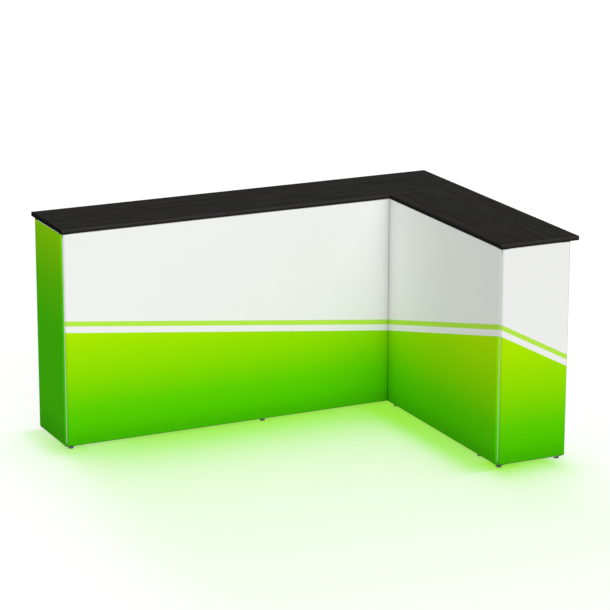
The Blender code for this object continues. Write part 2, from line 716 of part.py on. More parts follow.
def lock():
    """A cam lock: a flanged body in the door, and a plug whose cam turns behind the panel."""
    body_back = PANEL_BACK + LOCK_BODY_SETBACK
    body_length = BACK - body_back
    body = add_object("lock_body", cylinder_mesh("lock_body", LOCK_BODY_RADIUS, body_length),
                      **STEEL)
    body.location = (LOCK_X, body_back + body_length / 2, LOCK_Z)
    body.rotation_euler = ALONG_Y
    flange = cylinder_cutter("lock_flange", (LOCK_X, BACK + CLEARANCE
                             + LOCK_FLANGE_THICKNESS / 2, LOCK_Z),
                             LOCK_FLANGE_RADIUS, LOCK_FLANGE_THICKNESS, ALONG_Y)
    neck = cylinder_cutter("lock_neck", (LOCK_X, BACK, LOCK_Z), LOCK_BODY_RADIUS - CLEARANCE,
                           2 * CLEARANCE + LOCK_FLANGE_THICKNESS, ALONG_Y)
    combine(body, neck, "UNION")
    combine(body, flange, "UNION")
    combine(body, cylinder_cutter("plug_hole", (LOCK_X, BACK, LOCK_Z),
                                  LOCK_PLUG_RADIUS + CLEARANCE, 4 * PANEL_THICKNESS, ALONG_Y))

    cam_front = PANEL_BACK - CAM_GAP
    plug_front = BACK + CLEARANCE + LOCK_FLANGE_THICKNESS + LOCK_PLUG_PROUD
    length = plug_front - cam_front + CAM_THICKNESS / 2
    plug = add_object("lock_plug", cylinder_mesh("lock_plug", LOCK_PLUG_RADIUS, length), **STEEL)
    plug.location = (LOCK_X, plug_front - length / 2, LOCK_Z)
    plug.rotation_euler = ALONG_Y
    cam = add_cutter("lock_cam", outline_mesh("lock_cam", stadium(CAM_REACH, CAM_END_RADIUS),
                                              CAM_THICKNESS))
    cam.matrix_world = (Matrix.Translation((LOCK_X, cam_front - CAM_THICKNESS / 2, LOCK_Z))
                        @ Matrix.Rotation(math.radians(90), 4, "X"))
    combine(plug, cam, "UNION")
    keyway = span((LOCK_X - KEYWAY_WIDTH / 2, plug_front - KEYWAY_DEPTH,
                   LOCK_Z - KEYWAY_LENGTH / 2),
                  (LOCK_X + KEYWAY_WIDTH / 2, plug_front + OVERRUN, LOCK_Z + KEYWAY_LENGTH / 2))
    slot = add_cutter("keyway", block_mesh("keyway", keyway[1]))
    slot.location = keyway[0]
    combine(plug, slot)


def arc(centre, radius, start, stop, steps):
    """Points on an arc in the YZ plane, its angles in degrees from +Y towards +Z."""
    angles = [math.radians(start + (stop - start) * i / steps) for i in range(steps + 1)]
    return [(centre[0] + radius * math.cos(a), centre[1] + radius * math.sin(a)) for a in angles]


def door_pull():
    """A bow pull bent from one bar, its two ends on the face of the door."""
    high = LOCK_Z - PULL_BELOW_LOCK
    low = high - PULL_SPAN
    root, crown = BACK + CLEARANCE, BACK + PULL_STAND_OFF
    bend = crown - PULL_BEND
    path = [(root, high)] + arc((bend, high - PULL_BEND), PULL_BEND, 90, 0, BEVEL_STEPS + 1)
    path += arc((bend, low + PULL_BEND), PULL_BEND, 0, -90, BEVEL_STEPS + 1) + [(root, low)]
    curve = bpy.data.curves.new("door_pull", "CURVE")
    curve.dimensions = "3D"
    curve.bevel_depth = PULL_RADIUS
    curve.bevel_resolution = 3
    curve.use_fill_caps = True
    spline = curve.splines.new("POLY")
    spline.points.add(len(path) - 1)
    for place, (y, z) in zip(spline.points, path):
        place.co = (0, y - BACK, z - low, 1)
    obj = bpy.data.objects.new("door_pull", curve)
    curve.materials.append(finish("door_pull_finish", **ALUMINIUM))
    PARTS.objects.link(obj)
    obj.location = (LOCK_X, BACK, low)


def light_bars():
    """A light bar on each lit side's lower rail, in the space behind the fabric."""
    ends = {
        "front": (LEFT + POST_SIZE, INNER_X - POST_SIZE),
        "left_end": (INNER_Y + POST_SIZE, BACK - POST_SIZE),
        "inner_side": (FRONT + POST_SIZE, INNER_Y - POST_SIZE),
        "short_end": (INNER_X + POST_SIZE, RIGHT - POST_SIZE),
    }
    for face, (start, stop) in ends.items():
        low, high = face_box(face, start + LIGHT_BAR_END_GAP, stop - LIGHT_BAR_END_GAP,
                             RAIL_TOP + CLEARANCE, RAIL_TOP + CLEARANCE + LIGHT_BAR_HEIGHT,
                             LIGHT_BAR_SETBACK, LIGHT_BAR_SETBACK + LIGHT_BAR_WIDTH)
        block("light_bar_" + face, low, high, LIT_LENS, LIGHT_BAR_ROUNDING, BEVEL_STEPS - 1)


def inlet_place():
    """Where the middle of the mains inlet lies on the fixed panel's outer face."""
    x = BAY_RIGHT - SUPPLY_SIDE_GAP - SUPPLY_WIDTH / 2
    return x, BACK, BASE_TOP + CLEARANCE + SUPPLY_HEIGHT / 2


def mains_inlet():
    """A flanged inlet in the fixed panel: a shrouded socket with three flat pins."""
    x, y, z = inlet_place()
    rear = y - INLET_BACK_DEPTH
    body = block("mains_inlet", (x - INLET_BODY_WIDTH / 2, rear, z - INLET_BODY_HEIGHT / 2),
                 (x + INLET_BODY_WIDTH / 2, y + CLEARANCE + INLET_FLANGE_THICKNESS / 2,
                  z + INLET_BODY_HEIGHT / 2), BLACK_PLASTIC)
    flange = block_cutter("inlet_flange",
                          (x - INLET_FLANGE_WIDTH / 2, y + CLEARANCE,
                           z - INLET_FLANGE_HEIGHT / 2),
                          (x + INLET_FLANGE_WIDTH / 2, y + CLEARANCE + INLET_FLANGE_THICKNESS,
                           z + INLET_FLANGE_HEIGHT / 2))
    combine(body, flange, "UNION")
    mouth = y + CLEARANCE + INLET_FLANGE_THICKNESS
    half_x = INLET_BODY_WIDTH / 2 - INLET_WALL
    half_z = INLET_BODY_HEIGHT / 2 - INLET_WALL
    combine(body, block_cutter("inlet_recess",
                               (x - half_x, mouth - INLET_RECESS_DEPTH, z - half_z),
                               (x + half_x, mouth + OVERRUN, z + half_z)))
    floor = mouth - INLET_RECESS_DEPTH
    for side, step in ((-1, -INLET_PIN_STEP / 2), (0, INLET_PIN_STEP / 2),
                       (1, -INLET_PIN_STEP / 2)):
        px, pz = x + side * INLET_PIN_PITCH, z + step
        pin = block_cutter(f"inlet_pin_{side + 2}",
                           (px - INLET_PIN_THICKNESS / 2, floor - INLET_WALL / 2,
                            pz - INLET_PIN_HEIGHT / 2),
                           (px + INLET_PIN_THICKNESS / 2, floor + INLET_PIN_LENGTH,
                            pz + INLET_PIN_HEIGHT / 2))
        combine(body, pin, "UNION")


def power_supply():
    """The lights' supply, a finned case on the cupboard's base behind the inlet."""
    x, y, _ = inlet_place()
    far = y - INLET_BACK_DEPTH - CLEARANCE
    low = (x - SUPPLY_WIDTH / 2, far - SUPPLY_LENGTH, BASE_TOP + CLEARANCE)
    high = (x + SUPPLY_WIDTH / 2, far, BASE_TOP + CLEARANCE + SUPPLY_HEIGHT)
    case = block("power_supply", low, high, GREY_PLASTIC, SUPPLY_FIN_GAP / 2)
    for i in range(SUPPLY_FINS):
        middle = x + (i - (SUPPLY_FINS - 1) / 2) * SUPPLY_FIN_PITCH
        combine(case, block_cutter(f"supply_slot_{i + 1}",
                                   (middle - SUPPLY_FIN_GAP / 2, low[Y] - OVERRUN,
                                    high[Z] - SUPPLY_FIN_DEPTH),
                                   (middle + SUPPLY_FIN_GAP / 2, high[Y] + OVERRUN,
                                    high[Z] + OVERRUN)))


corner_posts()
inner_corner_post()
middle_posts()
rails()
for lit_face in LIT_FACES:
    fabric(lit_face)
worktops()
liners()
boards()
door_and_panel()
hinge()
lock()
door_pull()
light_bars()
mains_inlet()
power_supply()
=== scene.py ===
"""Looks of the L-shaped exhibition counter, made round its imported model.

The customers stand inside the L. Metres, +Z up: X runs along the long run, and -Y and -X face the
customers. The sections follow the counter as it is put together, from its frame to its mains inlet.
"""
import math

import bmesh
import bpy
import numpy as np
from mathutils import Euler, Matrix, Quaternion, Vector


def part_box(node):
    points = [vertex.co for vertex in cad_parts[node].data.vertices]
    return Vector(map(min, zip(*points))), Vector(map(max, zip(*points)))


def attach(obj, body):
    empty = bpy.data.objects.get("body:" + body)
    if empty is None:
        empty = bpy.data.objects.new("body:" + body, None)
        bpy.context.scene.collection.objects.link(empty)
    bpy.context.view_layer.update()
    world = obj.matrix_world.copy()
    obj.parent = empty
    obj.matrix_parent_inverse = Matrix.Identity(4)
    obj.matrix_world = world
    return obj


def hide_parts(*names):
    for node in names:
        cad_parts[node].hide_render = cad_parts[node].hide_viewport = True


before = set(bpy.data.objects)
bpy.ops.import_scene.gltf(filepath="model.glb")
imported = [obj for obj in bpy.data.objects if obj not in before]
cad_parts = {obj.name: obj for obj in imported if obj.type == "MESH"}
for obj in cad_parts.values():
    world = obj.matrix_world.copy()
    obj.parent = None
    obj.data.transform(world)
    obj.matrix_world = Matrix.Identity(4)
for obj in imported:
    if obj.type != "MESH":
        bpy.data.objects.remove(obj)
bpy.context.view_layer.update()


# Camera: in front of the counter and to its left, four metres above the floor, with a long lens.
# Its place, direction and lens were worked out from eighteen corners of the counter.
CAMERA_PLACE = (-5.1424, -10.7508, 3.9783)
CAMERA_AZIMUTH = math.radians(-25.663)
CAMERA_ELEVATION = math.radians(15.591)
CAMERA_ROLL = math.radians(0.109)
CAMERA_LENS = 160.26
SENSOR_WIDTH = 36.0

camera = bpy.data.objects.new("camera", bpy.data.cameras.new("camera"))
camera.data.lens = CAMERA_LENS
camera.data.sensor_width = SENSOR_WIDTH
camera.location = CAMERA_PLACE
camera.rotation_mode = "QUATERNION"
camera.rotation_quaternion = (
    Euler((math.pi / 2 - CAMERA_ELEVATION, 0, CAMERA_AZIMUTH)).to_quaternion()
    @ Quaternion((0, 0, 1), CAMERA_ROLL))
bpy.context.scene.collection.objects.link(camera)
bpy.context.scene.camera = camera
bpy.context.scene.view_settings.view_transform = "Standard"


# Floor and light: a white studio floor under an even white sky, one soft lamp from the front, so
# the sides that face front are brighter than the left ones, and a weaker one low from behind.
# The green light that the lit faces throw on the floor is painted into the floor's colour,
# strongest at their feet.
SKY_LEVEL = 0.62
LAMPS = (("front_lamp", 1.30, (0.0, 0.86, -0.50)), ("back_lamp", 0.70, (-0.40, -0.85, -0.16)))
LAMP_SPREAD = math.radians(40)
FLOOR_SIZE = 60.0
FLOOR_COLOR = 0.80
FLOOR_SEEN_COLOR = 0.35
FLOOR_OWN_LIGHT = 0.75
FLOOR_PAINTED_GLOW = (0.31, 0.845, 0.0, 1.0)
FLOOR_LEAST_WHITE = 0.060
LIT_UNDER = 0.08
FRONT_SHORTER = 0.07
NEAR_FRONT_SHORTER = 0.30
LEFT_SHORTER = 0.06
END_SHORTER = 0.10
# Painted glow: each throw is green light painted into the floor's colour, one for each lit face or
# part of one.
THROWS = {
    "front": ((6, 3.5, 1, 4), 0.845, 0.362, 1.95, 0.13),
    "near_front": ((4, 1.5, 1, 4), 0.380, 0.050, 1.5, 0.20),
    "left": ((1, 4, 1.2, 2), 0.340, 0.095, 5.0, 0.0),
    "side": ((1, 4, 8, 4), 0.845, 0.146, 4.3, 0.07),
    "end": ((2, 2, 1, 4), 0.690, 0.130, 2.1, 0.0),
    "near_end": ((4, 3, 1, 4), 0.440, 0.026, 1.5, 0.0),
    "whole": ((4.5, 5.4, 1, 4), 0.195, 1.285, 2.42, 0.0),
}


def add(tree, kind, inputs=(), **options):
    """One shader node, with its options set and its named sockets filled or linked."""
    made = tree.nodes.new("ShaderNode" + kind)
    for name, value in options.items():
        setattr(made, name, value)
    for name, value in dict(inputs).items():
        if isinstance(value, bpy.types.NodeSocket):
            tree.links.new(value, made.inputs[name])
        else:
            made.inputs[name].default_value = value
    return made


def calc(tree, operation, *values):
    """One step of arithmetic on numbers, some of them sockets."""
    made = add(tree, "Math", dict(enumerate(values)), operation=operation)
    return made.outputs[0]


def blend(tree, amount, first, second, way="MIX"):
    """The first colour, taken towards the second by an amount from 0 to 1."""
    made = add(tree, "Mix", {0: amount, 6: first, 7: second}, data_type="RGBA", blend_type=way)
    return made.outputs[2]


def multiply(tree, first, second):
    """The product of two colours, channel by channel."""
    return blend(tree, 1.0, first, second, "MULTIPLY")


def own_place(tree):
    """The piece's own X, Y and Z, as three sockets."""
    return add(tree, "SeparateXYZ", {0: add(tree, "TexCoord").outputs["Object"]}).outputs


def ramp(tree, value, stops):
    """A colour that follows a number through a list of (number, colour) stops."""
    made = add(tree, "ValToRGB", {0: value})
    elements = made.color_ramp.elements
    for _ in stops[2:]:
        elements.new(1.0)
    for element, (place, color) in zip(elements, stops):
        element.position = place
        element.color = color
    return made.outputs[0]


def paint(text):
    """The linear colour of a hexadecimal sRGB one: each channel c becomes ((c + 0.055) / 1.055)
    to the power 2.4, or c / 12.92 where it is very dark."""
    channels = [int(text[i:i + 2], 16) / 255 for i in (0, 2, 4)]
    return (*(c / 12.92 if c < 0.04045 else ((c + 0.055) / 1.055) ** 2.4 for c in channels), 1.0)


def grey(level):
    """A neutral linear colour."""
    return (level, level, level, 1.0)


def seen_white(tree):
    """1 for the rays that show a background: the camera's, mirrored ones and see-through ones."""
    path = add(tree, "LightPath").outputs
    shown = calc(tree, "MAXIMUM", path["Is Camera Ray"], path["Is Glossy Ray"])
    return calc(tree, "MAXIMUM", shown, path["Is Transmission Ray"])


def painted_throw_of_light(tree, x, y, foot, stretches, strength, reach, power, fade):
    """Painted light on the floor from one lit face: strength / (1 + (distance / reach) to a
    power). The distance is to the face's foot, and each side's share of it is stretched where
    the counter stands in the way: before and beyond it in X, then in Y. With a fade, the painted
    light is halved at the face's free end, which has its lowest X or Y, and grows from there by
    an arctangent."""
    low, high = foot
    gaps = []
    for value, start, stop, (near, far) in ((x, low[0], high[0], stretches[:2]),
                                            (y, low[1], high[1], stretches[2:])):
        before = calc(tree, "MULTIPLY", calc(tree, "SUBTRACT", start, value), near)
        after = calc(tree, "MULTIPLY", calc(tree, "SUBTRACT", value, stop), far)
        gaps.append(calc(tree, "MAXIMUM", calc(tree, "MAXIMUM", before, after), 0.0))
    square = calc(tree, "ADD", *(calc(tree, "MULTIPLY", gap, gap) for gap in gaps))
    distance = calc(tree, "DIVIDE", calc(tree, "SQRT", square), reach)
    spread_out = calc(tree, "ADD", calc(tree, "POWER", distance, power), 1.0)
    level = calc(tree, "DIVIDE", strength, spread_out)
    if fade:
        place, free_end = (x, low[0]) if high[0] - low[0] > high[1] - low[1] else (y, low[1])
        along = calc(tree, "DIVIDE", calc(tree, "SUBTRACT", place, free_end), fade)
        turn = calc(tree, "ARCTANGENT", along)
        level = calc(tree, "MULTIPLY", level, calc(tree, "MULTIPLY_ADD", turn, 1 / math.pi, 0.5))
    return level


def lay_floor():
    """Each throw of painted light starts at a foot, from its lowest X and Y to its highest. The
    painted lights of several faces meet as the product of what each leaves white. Near the inner
    corner that is held up as the fourth root of the sum of two fourth powers."""
    front_low, front_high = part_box("fabric_front")
    left_low, left_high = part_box("fabric_left_end")
    side_low, side_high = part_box("fabric_inner_side")
    end_low, end_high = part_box("fabric_short_end")
    under_front, under_end = front_low.y + LIT_UNDER, end_low.y + LIT_UNDER
    end_foot = end_low, (end_high.x - END_SHORTER, under_end)
    feet = {
        "front": (front_low, (front_high.x - FRONT_SHORTER, under_front)),
        "near_front": ((front_low.x + NEAR_FRONT_SHORTER, front_low.y),
                       (front_high.x - NEAR_FRONT_SHORTER, under_front)),
        "left": (left_low, (left_low.x + LIT_UNDER, left_high.y - LEFT_SHORTER)),
        "side": (side_low, (side_low.x + LIT_UNDER, side_high.y + LIT_UNDER)),
        "end": end_foot,
        "near_end": end_foot,
        "whole": ((front_low.x, end_low.y), (side_low.x, front_low.y)),
    }
    floor_material = bpy.data.materials.new("studio_floor")
    floor_material.use_nodes = True
    tree = floor_material.node_tree
    tree.nodes.clear()
    x, y = own_place(tree)[:2]
    unlit = None
    # The lit faces' green light is painted into the floor's colour here.
    for name, foot in feet.items():
        rest = calc(tree, "SUBTRACT", 1.0, painted_throw_of_light(tree, x, y, foot, *THROWS[name]))
        unlit = rest if unlit is None else calc(tree, "MULTIPLY", unlit, rest)
    fourth_powers = calc(tree, "ADD", calc(tree, "POWER", unlit, 4.0), FLOOR_LEAST_WHITE ** 4)
    color = blend(tree, calc(tree, "POWER", fourth_powers, 0.25), FLOOR_PAINTED_GLOW, grey(1.0))
    shown = seen_white(tree)
    matt = add(tree, "BsdfDiffuse", {
        "Color": blend(tree, shown, grey(FLOOR_COLOR),
                       multiply(tree, color, grey(FLOOR_SEEN_COLOR)))})
    own = add(tree, "Emission", {"Color": color,
                                 "Strength": calc(tree, "MULTIPLY", shown, FLOOR_OWN_LIGHT)})
    both = add(tree, "AddShader", {0: matt.outputs[0], 1: own.outputs[0]})
    add(tree, "OutputMaterial", {"Surface": both.outputs[0]})

    half = FLOOR_SIZE / 2
    mesh = bpy.data.meshes.new("studio_floor")
    mesh.from_pydata([(-half, -half, 0), (half, -half, 0), (half, half, 0), (-half, half, 0)],
                     [], [(0, 1, 2, 3)])
    mesh.materials.append(floor_material)
    floor = bpy.data.objects.new("studio_floor", mesh)
    bpy.context.scene.collection.objects.link(floor)


def light_studio():
    """The sky is pure white where it shows, and lights the counter at its own level."""
    world = bpy.data.worlds.new("studio_sky")
    bpy.context.scene.world = world
    world.use_nodes = True
    tree = world.node_tree
    sky = tree.nodes["Background"]
    sky.inputs["Color"].default_value = grey(1.0)
    lift = calc(tree, "MULTIPLY", seen_white(tree), 1.0 - SKY_LEVEL)
    tree.links.new(calc(tree, "ADD", lift, SKY_LEVEL), sky.inputs["Strength"])

    for name, level, direction in LAMPS:
        lamp = bpy.data.objects.new(name, bpy.data.lights.new(name, "SUN"))
        lamp.data.energy = level
        lamp.data.angle = LAMP_SPREAD
        lamp.rotation_euler = Vector(direction).to_track_quat("-Z", "Y").to_euler()
        bpy.context.scene.collection.objects.link(lamp)


lay_floor()
light_studio()


# Posts and rails: extruded aluminium tube, sawn to length and anodised in satin silver. The die
# leaves faint lines along each length, and moulded grey connectors close the corner posts' ends.
# The inner corner's post gets its finish with the fabrics that meet there: a lighter aluminium with
# their reflection painted on it.
CONNECTOR_LENGTH = 0.018
JOINT_LINE = 0.0003
JOINT_DARKNESS = 0.8
JOINT_GROOVE = 4.0
DIE_LINE_DEPTH = 0.00004
ALUMINIUM_COLOR = paint("C3C4C5")
ALUMINIUM_DARK = paint("AFB0B3")
CONNECTOR_COLOR = paint("3F4043")
CONNECTOR_GRAIN = 0.6
CONNECTOR_DULLER = 0.2
POST_DULLNESS = (0.26, 0.40)
RAIL_DULLNESS = (0.12, 0.22)
LENGTHWAYS = {"X": (2.0, 260.0, 260.0), "Y": (260.0, 2.0, 260.0), "Z": (260.0, 260.0, 2.0)}


def new_finish(name):
    """A new material, with its node tree and its Principled shader."""
    material = bpy.data.materials.new(name)
    material.use_nodes = True
    return material, material.node_tree, material.node_tree.nodes["Principled BSDF"]


def feed(tree, shader, **inputs):
    """Link or set sockets of the shader, their names written with underscores."""
    for name, value in inputs.items():
        socket = shader.inputs[name.replace("_", " ")]
        if isinstance(value, bpy.types.NodeSocket):
            tree.links.new(value, socket)
        else:
            socket.default_value = value


def stretched_noise(tree, scale, detail=3.0, roughness=0.5, place=None):
    """Noise on the piece's own coordinates, its grains squeezed by one scale on all axes, or by
    three on X, Y and Z."""
    place = place or add(tree, "TexCoord").outputs["Object"]
    scales = scale if isinstance(scale, tuple) else (scale, scale, scale)
    spot = add(tree, "Mapping", {"Vector": place, "Scale": scales}).outputs[0]
    return add(tree, "TexNoise", {"Vector": spot, "Scale": 1.0, "Detail": detail,
                                  "Roughness": roughness}).outputs["Fac"]


def spread(tree, value, low, high):
    """A number from 0 to 1, stretched over low to high."""
    return add(tree, "MapRange", {"Value": value, "To Min": low, "To Max": high}).outputs[0]


def bump(tree, height, depth, strength=1.0, under=None):
    """A normal for a surface whose relief is height, 0 to 1, times depth in metres. It may lie on
    top of another relief, given by the normal under it."""
    inputs = {"Height": height, "Distance": depth, "Strength": strength}
    if under:
        inputs["Normal"] = under
    return add(tree, "Bump", inputs).outputs[0]


def anodised(name, along, connector_ends=None, tone=ALUMINIUM_COLOR, dullness=POST_DULLNESS):
    """Anodised aluminium with die lines along one axis; connector_ends gives the two heights
    beyond which the piece is its moulded connector."""
    material, tree, shader = new_finish(name)
    lines = stretched_noise(tree, LENGTHWAYS[along], detail=4.0, roughness=0.7)
    cloud = stretched_noise(tree, 9.0)
    color = blend(tree, spread(tree, cloud, 0.0, 0.35), tone, ALUMINIUM_DARK)
    roughness = spread(tree, lines, *dullness)
    metallic, relief = 1.0, lines
    if connector_ends:
        z = own_place(tree)[2]
        low, high = connector_ends
        below, above = calc(tree, "LESS_THAN", z, low), calc(tree, "GREATER_THAN", z, high)
        moulded = calc(tree, "MAXIMUM", below, above)
        seam = calc(tree, "MAXIMUM", calc(tree, "COMPARE", z, low, JOINT_LINE),
                    calc(tree, "COMPARE", z, high, JOINT_LINE))
        color = blend(tree, moulded, color, CONNECTOR_COLOR)
        color = blend(tree, calc(tree, "MULTIPLY", seam, JOINT_DARKNESS), color, grey(0.01))
        grain = stretched_noise(tree, 900.0)
        metallic = calc(tree, "SUBTRACT", 1.0, calc(tree, "MAXIMUM", moulded, seam))
        roughness = calc(tree, "MULTIPLY_ADD", moulded, CONNECTOR_DULLER, roughness)
        relief = calc(tree, "SUBTRACT", calc(tree, "MULTIPLY", grain, CONNECTOR_GRAIN),
                      calc(tree, "MULTIPLY", seam, JOINT_GROOVE))
    feed(tree, shader, Base_Color=color, Metallic=metallic, Roughness=roughness,
         Normal=bump(tree, relief, DIE_LINE_DEPTH))
    return material


def dress(material, *nodes):
    """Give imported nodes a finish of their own."""
    for node in nodes:
        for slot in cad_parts[node].material_slots:
            slot.material = material


post_low, post_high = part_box("post_left_front")
corner_post_finish = anodised("anodised_corner_post", "Z", (
    post_low.z + CONNECTOR_LENGTH, post_high.z - CONNECTOR_LENGTH))
plain_post_finish = anodised("anodised_post", "Z")
dress(corner_post_finish, "post_left_front", "post_left_back", "post_outer_corner",
      "post_end_left", "post_end_right")
dress(plain_post_finish, "post_front_middle", "post_back_middle")
for along, sides in (("X", ("front", "back", "short_end")),
                     ("Y", ("left_end", "right_side", "inner_side"))):
    rail_finish = anodised("anodised_rail_" + along.lower(), along, dullness=RAIL_DULLNESS)
    for side in sides:
        dress(rail_finish, f"rail_{side}_lower", f"rail_{side}_upper")


# Levelling feet: a moulded nylon pad with finger flutes round it, on a zinc-plated steel stud
# that screws up through a post's connector or a rail.
PAD_RADIUS = 0.012
PAD_HEIGHT = 0.012
PAD_ROUNDING = 0.001
PAD_WALL = (0.25, 0.85)
PAD_FLUTES = 24
FLUTE_DEPTH = 0.0004
FLUTE_START = 0.7
FLUTE_REACH = 0.3
STUD_RADIUS = 0.004
THREAD_PITCH = 0.00125
THREAD_DEPTH = 0.00055
STEPS_PER_TURN = 24
ROWS_PER_TURN = 6
STEPS_PER_FLUTE = 8


def surface(name, points, ring=False):
    """Quads over one or more grids of points, each rows x columns x 3. A ring joins its last
    column to its first. Faces point to where rows seem to run up and columns to the right."""
    points = points.reshape((-1,) + points.shape[-3:])
    corner = np.arange(points[..., 0].size).reshape(points.shape[:3])
    beside = np.roll(corner, -1, axis=2)
    if not ring:
        corner, beside = corner[..., :-1], beside[..., :-1]
    quads = np.stack((corner[:, :-1], beside[:, :-1], beside[:, 1:], corner[:, 1:]), axis=-1)
    mesh = bpy.data.meshes.new(name)
    mesh.from_pydata(points.reshape(-1, 3).tolist(), [], quads.reshape(-1, 4).tolist())
    return mesh


def close_shell(mesh, crease=35):
    """Merge the doubled points at poles and seams, turn every face outwards, and shade the
    mesh smooth but for its creases, in degrees."""
    shape = bmesh.new()
    shape.from_mesh(mesh)
    bmesh.ops.remove_doubles(shape, verts=shape.verts, dist=1e-6)
    bmesh.ops.recalc_face_normals(shape, faces=shape.faces)
    shape.to_mesh(mesh)
    shape.free()
    mesh.shade_smooth()
    mesh.set_sharp_from_angle(angle=math.radians(crease))
    return mesh


def fit(name, mesh, finish, body, slot, *replaced):
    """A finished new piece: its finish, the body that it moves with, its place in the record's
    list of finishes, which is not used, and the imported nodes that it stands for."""
    mesh.materials.append(finish)
    piece = bpy.data.objects.new(name, mesh)
    bpy.context.scene.collection.objects.link(piece)
    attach(piece, body)
    if replaced:
        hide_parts(*replaced)
    return piece


def turned(name, radius, height, middle):
    """A turned piece standing on the floor plane: radius is an array of rows x angles, and
    height its rows' heights, so a point is (r cos a, r sin a, h) about the middle."""
    angles = np.linspace(0, 2 * np.pi, radius.shape[1], endpoint=False)
    x = middle[0] + radius * np.cos(angles)
    y = middle[1] + radius * np.sin(angles)
    z = np.broadcast_to(height[:, None], radius.shape)
    return close_shell(surface(name, np.stack((x, y, z), axis=-1), ring=True))


def rounded_corner(radius, height, rounding, turn, steps=5):
    """Radii and heights round one outer corner of a turned profile, on a quarter circle that
    starts at the angle turn, in degrees."""
    angle = np.radians(turn + np.linspace(0, 90, steps))
    inner = radius - rounding
    level = height - math.copysign(rounding, turn + 45)
    return inner + rounding * np.cos(angle), level + rounding * np.sin(angle)


def foot_pad(name, middle):
    """The profile is a flat underside, a rounded rim, a wall and a rounded shoulder. The radius
    loses depth x (0.5 + 0.5 cos(flutes x angle)) to the third power on the wall, and a share of
    that, which falls with the square of the way in, on the rim and the shoulder."""
    low_r, low_z = rounded_corner(PAD_RADIUS, 0.0, PAD_ROUNDING, -90)
    high_r, high_z = rounded_corner(PAD_RADIUS, PAD_HEIGHT, PAD_ROUNDING, 0)
    radii = np.concatenate(([0.0], low_r, [PAD_RADIUS] * 2, high_r, [STUD_RADIUS, 0.0]))
    heights = np.concatenate(([0.0], low_z, [PAD_HEIGHT * share for share in PAD_WALL], high_z,
                              [PAD_HEIGHT, PAD_HEIGHT]))
    steps = PAD_FLUTES * STEPS_PER_FLUTE
    wave = 0.5 + 0.5 * np.cos(np.linspace(0, 2 * np.pi * PAD_FLUTES, steps, endpoint=False))
    way_out = (radii - FLUTE_START * PAD_RADIUS) / (FLUTE_REACH * PAD_RADIUS)
    fluted = np.clip(way_out, 0, 1) ** 2
    radius = radii[:, None] - FLUTE_DEPTH * fluted[:, None] * wave ** 3
    return turned(name, np.maximum(radius, 0), heights, middle)


def foot_stud(name, middle, top):
    """The thread: at each height and angle the radius is the stud's less a triangle wave of
    height / pitch - angle / 360. Both ends are closed flat, the upper one after a chamfer."""
    heights = np.arange(PAD_HEIGHT - STUD_RADIUS / 4, top, THREAD_PITCH / ROWS_PER_TURN)
    turn = np.linspace(0, 1, STEPS_PER_TURN, endpoint=False)
    phase = (heights[:, None] / THREAD_PITCH - turn[None, :]) % 1.0
    groove = 1.0 - np.abs(2.0 * phase - 1.0)
    fade = np.clip((top - heights) / (2 * THREAD_PITCH), 0, 1)[:, None]
    radius = STUD_RADIUS - THREAD_DEPTH * (groove * fade + 2 * (1 - fade))
    pole = np.zeros((1, STEPS_PER_TURN))
    radius = np.concatenate((pole, radius, pole))
    heights = np.concatenate((heights[:1], heights, heights[-1:]))
    return turned(name, radius, heights, middle)


def nylon(name):
    """Moulded dark grey nylon: fine spark-eroded grain, duller where it has been handled."""
    material, tree, shader = new_finish(name)
    grain = stretched_noise(tree, 1400.0, detail=2.0)
    scuff = stretched_noise(tree, 120.0, detail=5.0, roughness=0.65)
    color = blend(tree, spread(tree, scuff, 0.0, 0.5), paint("544E58"), paint("746B78"))
    feed(tree, shader, Base_Color=color, Roughness=spread(tree, scuff, 0.38, 0.62),
         Normal=bump(tree, grain, 0.00003))
    return material


def hazy_metal(name, color, low, high):
    """Bare or plated metal with a faint cloudy haze, its roughness from low to high."""
    material, tree, shader = new_finish(name)
    haze = stretched_noise(tree, 220.0, detail=5.0, roughness=0.6)
    tone = blend(tree, spread(tree, haze, 0.0, 0.4), color, grey(color[0] * 0.6))
    feed(tree, shader, Base_Color=tone, Metallic=1.0, Roughness=spread(tree, haze, low, high),
         Normal=bump(tree, haze, 0.00001))
    return material


pad_finish = nylon("foot_nylon")
stud_finish = hazy_metal("stud_zinc", paint("C9CBCE"), 0.22, 0.42)
for foot in sorted(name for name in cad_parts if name.startswith("foot_")):
    foot_low, foot_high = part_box(foot)
    middle = (foot_low + foot_high) / 2
    place = foot.removeprefix("foot_")
    fit("foot_pad_" + place, foot_pad("foot_pad_" + place, middle), pad_finish, foot,
        "black_plastic", foot)
    fit("foot_stud_" + place, foot_stud("foot_stud_" + place, middle, foot_high.z), stud_finish,
        foot, "hinge_steel")


# Light bars: strips of white LEDs under a frosted cover, one on each lit side's lower rail. They
# are clipped down in the space behind the fabric and shine upwards in it.
LED_PITCH = 0.0166
COVER_LIGHT = 1.0


def frosted_cover(name, along):
    """Frosted plastic, brighter over each LED: 0.5 + 0.5 cos(360 degrees x place / pitch)."""
    material, tree, shader = new_finish(name)
    place = own_place(tree)["XYZ".index(along)]
    turns = calc(tree, "MULTIPLY", place, 2 * math.pi / LED_PITCH)
    spot = calc(tree, "MULTIPLY_ADD", calc(tree, "COSINE", turns), 0.5, 0.5)
    frost = stretched_noise(tree, 700.0, detail=4.0)
    feed(tree, shader, Base_Color=blend(tree, frost, paint("DDE2E6"), paint("F2F5F7")),
         Emission_Color=blend(tree, spot, paint("C9D6E2"), paint("FFFFFF")),
         Emission_Strength=COVER_LIGHT, Roughness=spread(tree, frost, 0.42, 0.60),
         Normal=bump(tree, frost, 0.00004))
    return material


dress(frosted_cover("led_cover_x", "X"), "light_bar_front", "light_bar_short_end")
dress(frosted_cover("led_cover_y", "Y"), "light_bar_left_end", "light_bar_inner_side")


